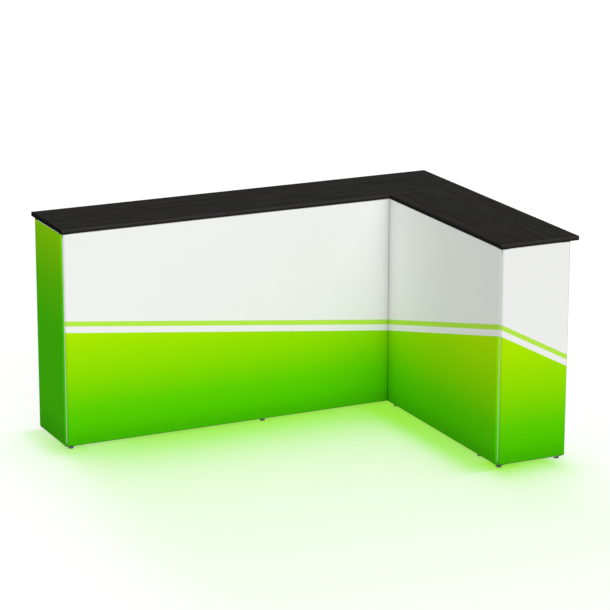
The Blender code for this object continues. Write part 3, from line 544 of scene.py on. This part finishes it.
# Liners: white rigid foam sheets, sawn square and fixed behind the posts and rails. They close
# the light spaces towards the inside and throw the light forward.
def foam_sheet(name):
    """Matt white foam sheet with a fine pebbled skin and faint rolled bands."""
    material, tree, shader = new_finish(name)
    pebble = stretched_noise(tree, 650.0, detail=4.0, roughness=0.6)
    band = stretched_noise(tree, (3.0, 3.0, 14.0), detail=2.0)
    feed(tree, shader, Base_Color=blend(tree, band, paint("E2E3E1"), paint("EDEEEC")),
         Roughness=spread(tree, pebble, 0.55, 0.75), Normal=bump(tree, pebble, 0.00006))
    return material


dress(foam_sheet("liner_foam"), "liner_front", "liner_left_end", "liner_inner_side",
      "liner_short_end")


# Printed fabrics: four sheets of knitted polyester with a dye print, lit from behind. A silicone
# strip is sewn round each sheet and pressed into the frame's groove, which stretches it flat.
SHEET_THICKNESS = 0.0004
SHEET_CORNER = 0.004
SHEET_TOE = 0.010
SHEET_DEPTH = 0.0036
TUCK_WIDTH = 0.0008
ROLL_WIDTH = 0.0035
POST_ROUNDING = 0.014
EDGE_TO_CORNER = 0.0055
SHEET_STEP = 0.016
EDGE_DISTANCES = (0, 0.04, 0.12, 0.25, 0.45, 0.7, 1.0, 1.4, 1.9, 2.5, 3.2, 4.0, 5.0, 6.0, 7.2,
                  8.5, 10.0, 12.0)
STRIP_INSIDE = (0.0009, 0.0032)
STRIP_DEPTH = (0.0028, 0.0041)
STRIP_ROUNDING = 0.0004
STRIP_CORNER_STEPS = 9
LIT_SHARE = 0.15
FABRIC_GLOSS = 0.01
CORNER_PAINTED_SHADE = 0.235
CORNER_PAINTED_SHADE_REACH = 0.027
POST_PAINTED_HIGHLIGHT = (1.02, 1.45, 1.0, 1.0)
POST_PAINTED_HIGHLIGHT_REACH = (0.024, 0.009)
POST_PAINTED_SHADE = grey(0.84)
POST_PAINTED_SHADE_REACH = (0.012, 0.002)
KNIT_PITCH = 0.0006
KNIT_TALLER = 1.3
KNIT_DEPTH = 0.00003
PUCKER_PITCH = 0.013
PUCKER_REACH = 0.010
PUCKER_DEPTH = 0.00035
PRINT_BLUR = 0.0006
PAINTED_SHADE_PLACES = (0.12, 0.5, 0.95)
BAND_GAP = 0.030
BAND_WIDTH = 0.024
PRINT_HEIGHTS = (0.02, 0.09, 0.17, 0.32, 0.54)
PRINT_GREENS = ("44B700", "50C900", "5ED000", "8ADD00", "B0EB00")
SIDE_HEIGHTS = (0.02, 0.12, 0.54, 0.76, 0.98)
SIDE_GREENS = ("38A400", "40B200", "40B400", "5BBB00", "84C900")
PRINT_WHITE = paint("F2F3F1")
PRINT_BAND = paint("B9EC4A")
# Aluminium painted lighter for the inner corner's post, against the shade there.
ALUMINIUM_PAINTED_LIGHTER = paint("DBDCDC")
BRIGHT_DULLNESS = (0.05, 0.10)
ROUND_POSTS = ("post_left_front", "post_end_left")
# Each side's direction, its slanting edge's height at the left and right, its painted shades
# of light and its posts at the left and right.
LIT_SIDES = {
    "front": (Vector((1, 0, 0)), 0.540, 0.350, (1.0, 1.0, 1.0),
              "post_left_front", "post_inner_corner"),
    "left_end": (Vector((0, -1, 0)), None, None, (1.0, 1.0, 1.0),
                 "post_left_back", "post_left_front"),
    "inner_side": (Vector((0, -1, 0)), 0.350, 0.600, (1.06, 0.93, 0.895),
                   "post_inner_corner", "post_end_left"),
    "short_end": (Vector((1, 0, 0)), 0.600, 0.420, (0.955, 0.955, 0.955),
                  "post_end_left", "post_end_right"),
}


def side_frame(face, along):
    """Where a lit side's lower left corner is for someone in front of it, with its directions
    along and inwards, and its width and height."""
    low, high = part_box("fabric_" + face)
    inward = Vector((-along.y, along.x, 0))
    size = high - low
    width = abs(size.dot(along))
    origin = Vector((low.x, low.y if along.x else high.y, low.z))
    return origin, along, inward, width, size.z


def on_side(side, across, up, depth):
    """Points of the world for arrays of places on a lit side."""
    origin, along, inward = (np.array(v) for v in side[:3])
    return (origin + across[..., None] * along + up[..., None] * np.array((0, 0, 1.0))
            + depth[..., None] * inward)


def sheet_steps(length):
    """Places along one edge of a sheet: close together over its two rounded ends, at distances
    in millimetres, and even steps between them."""
    near = np.array(EDGE_DISTANCES) / 1000
    count = round((length - 2 * near[-1]) / SHEET_STEP)
    return np.concatenate((near, np.linspace(near[-1], length - near[-1], count)[1:-1],
                           length - near[::-1]))


def corner_radii(posts):
    """A sheet's corner radii, lower left and right, then upper left and right. Where the post
    carries no other sheet its connector has a rounded toe, and the lower corner follows it."""
    toes = [SHEET_TOE if post in ("post_left_back", "post_end_right") else SHEET_CORNER
            for post in posts]
    return np.array((toes, (SHEET_CORNER, SHEET_CORNER)))


def printed_sheet(name, side, posts):
    """The square corners of the grid are drawn onto round ones: with a and b the two places in a
    corner, from 0 to 1, the point is a sqrt(1 - b b / 2), b sqrt(1 - a a / 2) of the corner's
    radius. Three depths are joined as the fourth root of the sum of their fourth powers. A fold
    is depth (1 - sqrt(1 - (1 - d / width) squared)): d is the distance to the sheet's outline in
    the tight tuck, and to a level edge in the wide roll. On a round post it is
    R - sqrt(R R - (R - c) squared), c being the distance to the post's corner."""
    width, height = side[3:]
    across, up = np.meshgrid(sheet_steps(width), sheet_steps(height))
    right, high = across > width / 2, up > height / 2
    radius = corner_radii(posts)[high.astype(int), right.astype(int)]

    def turned_place(value, far, length):
        """The distance to the nearer edge, and the place in that edge's corner."""
        edge = np.where(far, length - value, value)
        return edge, np.clip(1 - edge / radius, 0, 1)

    (edge_u, a), (edge_v, b) = turned_place(across, right, width), turned_place(up, high, height)
    x, y = a * np.sqrt(1 - b * b / 2), b * np.sqrt(1 - a * a / 2)
    edge_u = np.where(a > 0, radius * (1 - x), edge_u)
    edge_v = np.where(b > 0, radius * (1 - y), edge_v)
    u, v = np.where(right, width - edge_u, edge_u), np.where(high, height - edge_v, edge_v)
    outline = np.where((a > 0) & (b > 0), radius * (1 - np.hypot(x, y)),
                       np.minimum(edge_u, edge_v))

    def fold(distance, reach):
        """The depth at a distance from an edge whose fold has this reach."""
        return SHEET_DEPTH * (1 - np.sqrt(1 - np.clip(1 - distance / reach, 0, 1) ** 2))

    rounded = np.array([post in ROUND_POSTS for post in posts])[right.astype(int)]
    from_corner = np.clip(POST_ROUNDING - EDGE_TO_CORNER - edge_u, 0, None)
    bend = POST_ROUNDING - np.sqrt(POST_ROUNDING ** 2 - from_corner ** 2)
    depths = (fold(outline, TUCK_WIDTH), fold(edge_v, ROLL_WIDTH),
              np.where(rounded, bend, 0.0))
    depth = np.minimum(sum(part ** 4 for part in depths) ** 0.25, SHEET_DEPTH)
    points = on_side(side, u, v, depth)
    mesh = surface(name, points)
    place = np.stack((u, v), axis=-1).reshape(-1, 2)
    corners = np.empty(len(mesh.loops), dtype=np.int32)
    mesh.loops.foreach_get("vertex_index", corners)
    layer = mesh.uv_layers.new(name="print_metres")
    layer.data.foreach_set("uv", place[corners].ravel())
    mesh.shade_smooth()
    middle = points[points.shape[0] // 2], points[:, points.shape[1] // 2]
    flat = tuple(float(np.linalg.norm(np.diff(line, axis=0), axis=1).sum()) for line in middle)
    return mesh, flat


def sewn_strip(name, side, posts):
    """A round-cornered section carried round the sheet: a point at distance e from the edge lies
    at the corner's centre plus (radius - e) in the direction of each angle round the corner."""
    width, height = side[3:]
    (near, far), (front, back), r = STRIP_INSIDE, STRIP_DEPTH, STRIP_ROUNDING
    turn = np.radians(np.arange(0, 390, 30))
    inside = np.where(np.cos(turn) > 0, far - r, near + r) + r * np.cos(turn)
    depth = np.where(np.sin(turn) > 0, back - r, front + r) + r * np.sin(turn)
    quarter = np.repeat(np.arange(4), STRIP_CORNER_STEPS)
    angle = np.radians(np.tile(np.linspace(0, 90, STRIP_CORNER_STEPS), 4) + 90 * quarter)
    right, high = (quarter == 0) | (quarter == 3), quarter < 2
    radius = corner_radii(posts)[high.astype(int), right.astype(int)]
    centre_u = np.where(right, width - radius, radius)
    centre_v = np.where(high, height - radius, radius)
    reach = radius - inside[:, None]
    u = centre_u + reach * np.cos(angle)
    v = centre_v + reach * np.sin(angle)
    points = on_side(side, u, v, np.broadcast_to(depth[:, None], u.shape))
    return close_shell(surface(name, points, ring=True))


def greens_by_height(tree, share, heights, greens):
    """The print's greens, each at its share of the sheet's height."""
    return ramp(tree, share, [(height, paint(green)) for height, green in zip(heights, greens)])


def painted_light_print(name, side, left_edge, right_edge, painted_shades, posts):
    """The dye print seen on a lit sheet: greens by height below a slanting edge, a light band
    beside it and white above, with the knit and its puckers by the sewn edge. Painted light and
    shade are in its colour too: painted shades at its left, middle and right, a strip of painted
    shade after a round post, a painted highlight of brighter green before one, and painted shade
    falling off exponentially beside the inner corner."""
    width, height = side[3:]
    material, tree, shader = new_finish(name)
    uv = add(tree, "UVMap", uv_map="print_metres").outputs[0]
    u, v = add(tree, "SeparateXYZ", {0: uv}).outputs[:2]
    share = calc(tree, "DIVIDE", v, height)
    if left_edge is None:
        color = greens_by_height(tree, share, SIDE_HEIGHTS, SIDE_GREENS)
    else:
        color = greens_by_height(tree, share, PRINT_HEIGHTS, PRINT_GREENS)
    from_post = {posts[0]: u, posts[1]: calc(tree, "SUBTRACT", width, u)}

    def painted_light_near_post(color, post, factor, reach):
        """The colour, times a factor near a post, for a painted highlight at one post and a painted
        shade at another: in full up to the second distance of reach, and less and less from there
        to the first."""
        amount = add(tree, "MapRange", {"Value": from_post[post], "From Min": reach[0],
                                        "From Max": reach[1]}).outputs[0]
        color = blend(tree, amount, color, multiply(tree, color, factor))
        color.node.clamp_result = True
        return color

    # Painted highlight: a brighter green before a round post.
    if posts[1] in ROUND_POSTS:
        color = painted_light_near_post(color, posts[1], POST_PAINTED_HIGHLIGHT, POST_PAINTED_HIGHLIGHT_REACH)
    if left_edge is not None:
        edge = calc(tree, "MULTIPLY_ADD", u, (right_edge - left_edge) / width, left_edge)
        above = calc(tree, "SUBTRACT", v, edge)

        def past(start):
            """0 below a height over the slanting edge and 1 above it, with a narrow blur."""
            step = calc(tree, "MULTIPLY", calc(tree, "SUBTRACT", above, start), 1 / PRINT_BLUR)
            step.node.use_clamp = True
            return step

        color = blend(tree, past(0.0), color, PRINT_WHITE)
        band = calc(tree, "SUBTRACT", past(BAND_GAP), past(BAND_GAP + BAND_WIDTH))
        color = blend(tree, band, color, PRINT_BAND)
    cloud = stretched_noise(tree, 2.2, detail=2.0, place=uv)
    color = multiply(tree, color, blend(tree, cloud, grey(0.975), grey(1.0)))
    # Painted shades across the side, from its left to its right.
    half_painted_shade = ramp(tree, calc(tree, "DIVIDE", u, width),
                      [(place, grey(level / 2)) for place, level in zip(PAINTED_SHADE_PLACES, painted_shades)])
    color = multiply(tree, color, multiply(tree, half_painted_shade, grey(2.0)))
    # Painted shade: a dimmer strip after a round post.
    if posts[0] in ROUND_POSTS:
        color = painted_light_near_post(color, posts[0], POST_PAINTED_SHADE, POST_PAINTED_SHADE_REACH)
    # Painted shade falling off exponentially beside the inner corner.
    if "post_inner_corner" in posts:
        painted_corner_shade = calc(tree, "EXPONENT", calc(
            tree, "DIVIDE", from_post["post_inner_corner"], -CORNER_PAINTED_SHADE_REACH))
        color = blend(tree, calc(tree, "MULTIPLY", painted_corner_shade, CORNER_PAINTED_SHADE), color, grey(0.0))

    def wave(value, pitch):
        """0.5 + 0.5 sin(360 degrees x value / pitch)."""
        turns = calc(tree, "MULTIPLY", value, 2 * math.pi / pitch)
        return calc(tree, "MULTIPLY_ADD", calc(tree, "SINE", turns), 0.5, 0.5)

    knit = calc(tree, "MULTIPLY", wave(u, KNIT_PITCH), wave(v, KNIT_PITCH * KNIT_TALLER))
    to_side = calc(tree, "MINIMUM", u, calc(tree, "SUBTRACT", width, u))
    to_end = calc(tree, "MINIMUM", v, calc(tree, "SUBTRACT", height, v))
    to_edge = calc(tree, "MINIMUM", to_side, to_end)
    along_edge = calc(tree, "SUBTRACT", calc(tree, "ADD", u, v), to_edge)
    loose = calc(tree, "EXPONENT", calc(tree, "DIVIDE", to_edge, -PUCKER_REACH))
    sway = calc(tree, "MULTIPLY_ADD", stretched_noise(tree, 40.0, place=uv),
                PUCKER_PITCH, along_edge)
    pucker = calc(tree, "MULTIPLY", wave(sway, PUCKER_PITCH), loose)
    relief = bump(tree, pucker, PUCKER_DEPTH, 0.7, under=bump(tree, knit, KNIT_DEPTH, 0.6))
    feed(tree, shader, Base_Color=multiply(tree, color, grey(1.0 - LIT_SHARE)),
         Emission_Color=color, Emission_Strength=LIT_SHARE, Specular_IOR_Level=FABRIC_GLOSS,
         Roughness=spread(tree, knit, 0.72, 0.88), Normal=relief)
    return material


def post_with_painted_reflection(name, edge):
    """The inner corner's strip of aluminium is painted lighter than the rest against the shade in
    the corner. It stands between two lit sheets, and their reflection is painted on it: their
    greens below the edge's height and their light band above it."""
    low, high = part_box("fabric_front")
    material = anodised(name, "Z", tone=ALUMINIUM_PAINTED_LIGHTER, dullness=BRIGHT_DULLNESS)
    tree, shader = material.node_tree, material.node_tree.nodes["Principled BSDF"]
    v = calc(tree, "SUBTRACT", own_place(tree)[2], low.z)
    greens = greens_by_height(tree, calc(tree, "DIVIDE", v, high.z - low.z),
                              PRINT_HEIGHTS, PRINT_GREENS)
    # Painted reflection of the two sheets' greens and light band.
    color = blend(tree, calc(tree, "LESS_THAN", v, edge), ALUMINIUM_PAINTED_LIGHTER, greens)
    band = calc(tree, "COMPARE", v, edge + BAND_GAP + BAND_WIDTH / 2, BAND_WIDTH / 2)
    feed(tree, shader, Base_Color=blend(tree, band, color, PRINT_BAND))
    return material


def silicone(name):
    """Milky silicone with the fine drag lines of its extrusion."""
    material, tree, shader = new_finish(name)
    drag = stretched_noise(tree, 500.0, detail=2.0)
    feed(tree, shader, Base_Color=blend(tree, drag, paint("CFD1CF"), paint("DEDFDD")),
         Roughness=spread(tree, drag, 0.45, 0.60), Normal=bump(tree, drag, 0.00002))
    return material


inner_edge = LIT_SIDES["front"][2]
dress(post_with_painted_reflection("inner_post_painted_reflection", inner_edge), "post_inner_corner")
strip_finish = silicone("sewn_silicone")
for face, (along, left_edge, right_edge, painted_shades, *posts) in LIT_SIDES.items():
    side = side_frame(face, along)
    # Each print material also holds the painted light and shade of its side.
    sheet_finish = painted_light_print("print_" + face, side, left_edge, right_edge, painted_shades, posts)
    mesh, flat = printed_sheet("sheet_" + face, side, posts)
    sheet = fit("sheet_" + face, mesh, sheet_finish, "frame", "printed_fabric", "fabric_" + face)
    wall = sheet.modifiers.new("thickness", "SOLIDIFY")
    wall.thickness = SHEET_THICKNESS
    wall.offset = -1.0
    strip = fit("strip_" + face, sewn_strip("strip_" + face, side, posts), strip_finish, "frame",
                "white_liner")


# Boards: white melamine-faced chipboard for the base, shelves, partition, door and fixed panel,
# with ironed-on edging, screwed to the frame from inside.
BOARD_FACE_LEAST = 0.5
BOARD_EDGING_SHARE = 0.8
BOARD_EDGING_SMOOTHER = 0.12


def melamine(name, facing):
    """White decor paper with a fine pearl; facing is the axis of the board's two faces, and its
    other sides are edging, a little glossier and without the pearl."""
    material, tree, shader = new_finish(name)
    coordinates = add(tree, "TexCoord").outputs
    normal = add(tree, "SeparateXYZ", {0: coordinates["Normal"]})
    turned_away = calc(tree, "ABSOLUTE", normal.outputs["XYZ".index(facing)])
    edging = calc(tree, "LESS_THAN", turned_away, BOARD_FACE_LEAST)
    pearl = stretched_noise(tree, 520.0, detail=4.0, roughness=0.6)
    smear = stretched_noise(tree, 6.0, detail=5.0, roughness=0.65)
    color = blend(tree, smear, paint("E6E6E3"), paint("EFEFEC"))
    color = blend(tree, calc(tree, "MULTIPLY", edging, BOARD_EDGING_SHARE), color, paint("E9EAE9"))
    roughness = calc(tree, "SUBTRACT", spread(tree, smear, 0.36, 0.52),
                     calc(tree, "MULTIPLY", edging, BOARD_EDGING_SMOOTHER))
    relief = calc(tree, "MULTIPLY", pearl, calc(tree, "SUBTRACT", 1.0, edging))
    feed(tree, shader, Base_Color=color, Roughness=roughness,
         Normal=bump(tree, relief, 0.00005))
    return material


dress(melamine("melamine_level", "Z"), "base_long", "base_short", "shelf_cupboard", "shelf_long",
      "shelf_short")
dress(melamine("melamine_upright", "Y"), "door", "fixed_panel")
dress(melamine("melamine_partition", "X"), "partition")


# Worktop: three chipboards faced with black laminate that is pressed with a wood grain, edged with
# glued plastic strip, butted together and screwed down from below. The grain runs along each run.
BOARD_LIGHT = paint("2E2D2C")
BOARD_DARK = paint("171717")
BOARD_WARM = paint("2F2C29")
BOARD_PORE = paint("0F0F0E")
BROAD_SHARE = 0.42
NARROW_SHARE = 0.58
PORE_SHARE = 0.45
# The edging's colours are partly painted light and shade: lightest on the front, which faces the
# lamp, darker on the short run's inner side and darkest on the ends and back.
EDGING_FRONT_PAINTED_LIT = paint("393735")
EDGING_INNER_PAINTED_SHADE = paint("252423")
EDGING_BLACK_PAINTED_SHADE = paint("111110")
EDGING_WIDTH = 0.0040
EDGING_SHARE = 0.85
SHADOW_BELOW_TOP = 0.005
SHADOW_ABOVE_UNDERSIDE = 0.002
SHADOW_SHARE = 0.72
TURNED_LEAST = 0.7
LAMINATE_COAT = 0.02
COAT_DULLNESS = 0.35


def woodgrain(name, board, along, edged, shift):
    """Black laminate: broad and narrow streaks, a slow change from cold to warm, and short pores,
    all drawn out along the grain. edged gives the sides with edging and the colour on each,
    which is partly painted light and shade: lightest on the front, darker on the short run's
    inner side and darkest on the ends and back. shift gives the board a stretch of the pattern
    for itself. The edging shows as a thin line on the top, and a painted shadow darkens the
    sides from the top to the underside."""
    material, tree, shader = new_finish(name)
    coordinates = add(tree, "TexCoord").outputs
    moved = add(tree, "Mapping", {"Vector": coordinates["Object"], "Location": shift}).outputs[0]
    normal = add(tree, "SeparateXYZ", {0: coordinates["Normal"]}).outputs
    place = add(tree, "SeparateXYZ", {0: coordinates["Object"]}).outputs

    def streaks(length, width, **options):
        """Noise with a scale along the grain and one across it."""
        scale = (length, width, width) if along == "X" else (width, length, width)
        return stretched_noise(tree, scale, place=moved, **options)

    def stretch(value, low, high):
        """0 to 1 as a value goes from low to high."""
        return add(tree, "MapRange", {"Value": value, "From Min": low,
                                      "From Max": high}).outputs[0]

    broad = stretch(streaks(1.7, 30.0, detail=3.0, roughness=0.55), 0.34, 0.66)
    narrow = stretch(streaks(7.0, 105.0, detail=3.0, roughness=0.6), 0.36, 0.64)
    warmth = stretch(streaks(0.6, 9.0, detail=2.0), 0.40, 0.60)
    pores = streaks(16.0, 620.0, detail=3.0, roughness=0.6)
    figure = calc(tree, "ADD", calc(tree, "MULTIPLY", broad, BROAD_SHARE),
                  calc(tree, "MULTIPLY", narrow, NARROW_SHARE))
    color = blend(tree, figure, BOARD_DARK, blend(tree, warmth, BOARD_LIGHT, BOARD_WARM))
    deep = ramp(tree, pores, ((0.0, grey(1.0)), (0.38, grey(1.0)), (0.50, grey(0.0))))
    color = blend(tree, calc(tree, "MULTIPLY", deep, PORE_SHARE), color, BOARD_PORE)

    low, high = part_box(board)
    upright = calc(tree, "LESS_THAN", calc(tree, "ABSOLUTE", normal[2]), TURNED_LEAST)
    for side, shade in edged.items():
        axis = "xy".index(side[1])
        if side[0] == "-":
            turned_out = calc(tree, "LESS_THAN", normal[axis], -TURNED_LEAST)
            beyond = calc(tree, "LESS_THAN", place[axis], low[axis] + EDGING_WIDTH)
        else:
            turned_out = calc(tree, "GREATER_THAN", normal[axis], TURNED_LEAST)
            beyond = calc(tree, "GREATER_THAN", place[axis], high[axis] - EDGING_WIDTH)
        covers = calc(tree, "MAXIMUM", turned_out,
                      calc(tree, "MULTIPLY", beyond, calc(tree, "SUBTRACT", 1.0, upright)))
        color = blend(tree, calc(tree, "MULTIPLY", covers, EDGING_SHARE), color, shade)
    # Painted shadow: the upright sides darken from the top down to the underside.
    shadow = stretch(place[2], high.z - SHADOW_BELOW_TOP, low.z + SHADOW_ABOVE_UNDERSIDE)
    dark = calc(tree, "MULTIPLY", calc(tree, "MULTIPLY", shadow, upright), SHADOW_SHARE)
    color = blend(tree, dark, color, grey(0.0))
    feed(tree, shader, Base_Color=color, Roughness=spread(tree, pores, 0.48, 0.66),
         Specular_IOR_Level=0.0, Coat_Weight=LAMINATE_COAT, Coat_Roughness=COAT_DULLNESS,
         Normal=bump(tree, pores, 0.00005))
    return material


for board, along, edged, shift in (
        ("worktop_long_left", "X",
         {"-x": EDGING_BLACK_PAINTED_SHADE, "-y": EDGING_FRONT_PAINTED_LIT, "+y": EDGING_BLACK_PAINTED_SHADE}, (0.0, 0.0, 0.0)),
        ("worktop_long_right", "X",
         {"-y": EDGING_FRONT_PAINTED_LIT, "+x": EDGING_BLACK_PAINTED_SHADE, "+y": EDGING_BLACK_PAINTED_SHADE}, (3.7, 0.31, 0.0)),
        ("worktop_short", "Y",
         {"-x": EDGING_INNER_PAINTED_SHADE, "-y": EDGING_FRONT_PAINTED_LIT, "+x": EDGING_BLACK_PAINTED_SHADE}, (0.17, 5.3, 0.0))):
    laminate = "laminate_" + board.removeprefix("worktop_")
    dress(woodgrain(laminate, board, along, edged, shift), board)


# Piano hinge: a rolled steel strip on the end post and one on the door, joined by a pin through
# their knuckles, and held by cross-head screws in staggered rows.
SCREW_RADIUS = 0.0030
SCREW_RISE = 0.0010
SCREW_PITCH = 0.060
SCREW_STAGGER = 0.0030
SCREW_ROW = 0.60
LEAF_THICKNESS = 0.0012
RECESS_HALF_WIDTH = 0.00045
RECESS_REACH = 0.0019
RECESS_DEPTH = 0.0008
SCREW_RINGS = 12
SCREW_COLUMNS = 32


def screw_heads(name, places):
    """Oval heads facing +Y. At a distance r from its middle a head rises its height times
    sqrt(1 - (r / radius) squared), less a cross-shaped recess: its depth times e to the power
    -(d / half width) to the fourth - (r / reach) to the eighth, d being the distance to the
    nearer arm's middle line."""
    ring = SCREW_RADIUS * np.sin(np.linspace(0, np.pi / 2, SCREW_RINGS))
    angle = np.linspace(0, 2 * np.pi, SCREW_COLUMNS, endpoint=False)
    x, z = ring[:, None] * np.cos(angle), ring[:, None] * np.sin(angle)
    dome = SCREW_RISE * np.sqrt(1 - (ring / SCREW_RADIUS) ** 2)[:, None]
    arm = np.minimum(np.abs(x), np.abs(z)) / RECESS_HALF_WIDTH
    reach = np.hypot(x, z) / RECESS_REACH
    cross = np.exp(-arm ** 4 - reach ** 8)
    rise = np.maximum(dome - RECESS_DEPTH * cross, 0)
    head = np.stack((x, rise + np.zeros_like(x), z), axis=-1)
    back = np.zeros((1, SCREW_COLUMNS, 3))
    head = np.concatenate((head, back))
    return close_shell(surface(name, np.array(places)[:, None, None, :] + head, ring=True),
                       crease=50)


hinge_finish = hazy_metal("hinge_nickel", paint("C4C3BF"), 0.24, 0.40)
screw_finish = hazy_metal("screw_nickel", paint("CDCDCB"), 0.20, 0.34)
dress(hinge_finish, "hinge_leaf_frame", "hinge_leaf_door", "hinge_pin")
pin_low, pin_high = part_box("hinge_pin")
hinge_line = (pin_low.x + pin_high.x) / 2
for leaf, body in (("hinge_leaf_frame", "frame"), ("hinge_leaf_door", "door")):
    leaf_low, leaf_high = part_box(leaf)
    outer = leaf_high.x if body == "door" else leaf_low.x
    middle = hinge_line + (outer - hinge_line) * SCREW_ROW
    count = int((leaf_high.z - leaf_low.z) / SCREW_PITCH)
    first = (leaf_low.z + leaf_high.z - (count - 1) * SCREW_PITCH) / 2
    surface_y = leaf_low.y + LEAF_THICKNESS
    places = [(middle + SCREW_STAGGER * (-1) ** i, surface_y, first + i * SCREW_PITCH)
              for i in range(count)]
    fit(leaf + "_screws", screw_heads(leaf + "_screws", places), screw_finish, body,
        "hinge_steel")


# Lock and pull: a chromed cam lock through the door, whose cam turns behind the fixed panel,
# and a bow pull bent from an aluminium bar and screwed on from the door's inside.
BORE_RADIUS = 0.0058
BODY_RADIUS = 0.0090
NECK_RADIUS = 0.0087
NECK_LENGTH = 0.0003
FLANGE_THICKNESS = 0.0020
FLANGE_ROUNDING = 0.0009
LOCK_COLUMNS = 64
BAR_RADIUS = 0.0040
BAR_BEND = 0.010
BEND_STEPS = 12
BAR_COLUMNS = 24


def lock_tube(name):
    """A turned ring along Y: bore, tube, neck and a flange with a rounded rim, one closed
    profile carried round the lock's middle."""
    low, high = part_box("lock_body")
    middle = (low + high) / 2
    flange = (high.x - low.x) / 2
    rim_r, rim_y = rounded_corner(flange, high.y, FLANGE_ROUNDING, 0)
    under = high.y - FLANGE_THICKNESS
    radii = np.concatenate(([BORE_RADIUS, BODY_RADIUS, BODY_RADIUS, NECK_RADIUS, NECK_RADIUS,
                             flange], rim_r, [BORE_RADIUS, BORE_RADIUS]))
    shoulder = under - NECK_LENGTH
    places = np.concatenate(([low.y, low.y, shoulder, shoulder, under, under], rim_y,
                             [high.y, low.y]))
    angle = np.linspace(0, 2 * np.pi, LOCK_COLUMNS, endpoint=False)
    x = middle.x + radii[:, None] * np.cos(angle)
    z = middle.z + radii[:, None] * np.sin(angle)
    y = np.broadcast_to(places[:, None], x.shape)
    return close_shell(surface(name, np.stack((x, y, z), axis=-1), ring=True))


def bent_bar(name):
    """A round bar carried along a path in a plane of constant X: out of the door, a quarter
    circle, straight down, a quarter circle and back. Each ring is the path's point plus radius
    times (cos a along the path's normal and sin a along X)."""
    low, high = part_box("door_pull")
    x = (low.x + high.x) / 2
    crown, top, bottom = high.y - BAR_RADIUS, high.z - BAR_RADIUS, low.z + BAR_RADIUS
    turn = np.radians(np.linspace(90, 0, BEND_STEPS))
    bend_y, bend_z = BAR_BEND * np.cos(turn), BAR_BEND * np.sin(turn)
    y = np.concatenate(([low.y], crown - BAR_BEND + bend_y, crown - BAR_BEND + bend_y[::-1],
                        [low.y]))
    z = np.concatenate(([top], top - BAR_BEND + bend_z, bottom + BAR_BEND - bend_z[::-1],
                        [bottom]))
    out_y = np.concatenate(([0.0], np.cos(turn), np.cos(turn[::-1]), [0.0]))
    out_z = np.concatenate(([1.0], np.sin(turn), -np.sin(turn[::-1]), [-1.0]))
    angle = np.linspace(0, 2 * np.pi, BAR_COLUMNS, endpoint=False)
    wide = np.concatenate(([0.0], np.full(len(y), BAR_RADIUS), [0.0]))[:, None]
    y, z = np.pad(y, 1, "edge")[:, None], np.pad(z, 1, "edge")[:, None]
    out_y, out_z = np.pad(out_y, 1, "edge")[:, None], np.pad(out_z, 1, "edge")[:, None]
    ring_y = y + wide * out_y * np.cos(angle)
    ring_z = z + wide * out_z * np.cos(angle)
    ring_x = x + wide * np.sin(angle)
    return close_shell(surface(name, np.stack((ring_x, ring_y, ring_z), axis=-1), ring=True))


chrome = hazy_metal("lock_chrome", paint("D6D7D8"), 0.10, 0.22)
dress(chrome, "lock_plug")
fit("lock_tube", lock_tube("lock_tube"), chrome, "door", "lock_chrome", "lock_body")
bar_finish = hazy_metal("pull_aluminium", paint("C6C7C8"), 0.28, 0.42)
fit("pull_bar", bent_bar("pull_bar"), bar_finish, "door", "frame_aluminium", "door_pull")


# Mains inlet and power supply: a moulded flanged socket, screwed into the fixed panel, feeds a
# powder-coated case with cooling fins that stands behind it on the cupboard's base.
PIN_ROOM_REACH = (0.0095, 0.0060)
PIN_ROOM_DEPTH = (0.0030, 0.0183)
PIN_SMOOTHER = 0.22
INLET_SCREW_REACH = 0.0195


def moulded_black(name, metal_inside):
    """Black moulded plastic with a fine grain. metal_inside is a box, as two corners, inside
    which the piece is its bare pins."""
    material, tree, shader = new_finish(name)
    pins = None
    for value, low, high in zip(own_place(tree), *metal_inside):
        inside = calc(tree, "MULTIPLY", calc(tree, "GREATER_THAN", value, low),
                      calc(tree, "LESS_THAN", value, high))
        pins = inside if pins is None else calc(tree, "MULTIPLY", pins, inside)
    grain = stretched_noise(tree, 1100.0, detail=2.0)
    tone = stretched_noise(tree, 60.0, detail=4.0)
    color = blend(tree, tone, paint("1B1B1C"), paint("27272A"))
    feed(tree, shader, Base_Color=blend(tree, pins, color, paint("D8D6D0")), Metallic=pins,
         Roughness=calc(tree, "SUBTRACT", spread(tree, tone, 0.42, 0.58),
                        calc(tree, "MULTIPLY", pins, PIN_SMOOTHER)),
         Normal=bump(tree, grain, 0.00003))
    return material


def powder_coat(name):
    """Grey powder coat: a close orange peel, dull, with a slightly lighter cloud."""
    material, tree, shader = new_finish(name)
    peel = stretched_noise(tree, 800.0, detail=3.0)
    cloud = stretched_noise(tree, 30.0, detail=4.0)
    feed(tree, shader, Base_Color=blend(tree, cloud, paint("6A6C70"), paint("777A7E")),
         Roughness=spread(tree, peel, 0.46, 0.62), Normal=bump(tree, peel, 0.00006))
    return material


inlet_low, inlet_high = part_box("mains_inlet")
inlet_middle = (inlet_low + inlet_high) / 2
room_x, room_z = PIN_ROOM_REACH
room_front, room_back = PIN_ROOM_DEPTH
pin_room = (Vector((inlet_middle.x - room_x, inlet_high.y - room_back, inlet_middle.z - room_z)),
            Vector((inlet_middle.x + room_x, inlet_high.y - room_front, inlet_middle.z + room_z)))
dress(moulded_black("inlet_plastic", pin_room), "mains_inlet")
fit("inlet_screws", screw_heads("inlet_screws", [
    (inlet_middle.x + side * INLET_SCREW_REACH, inlet_high.y, inlet_middle.z)
    for side in (-1, 1)]), screw_finish, "frame", "hinge_steel")
dress(powder_coat("supply_powder_coat"), "power_supply")
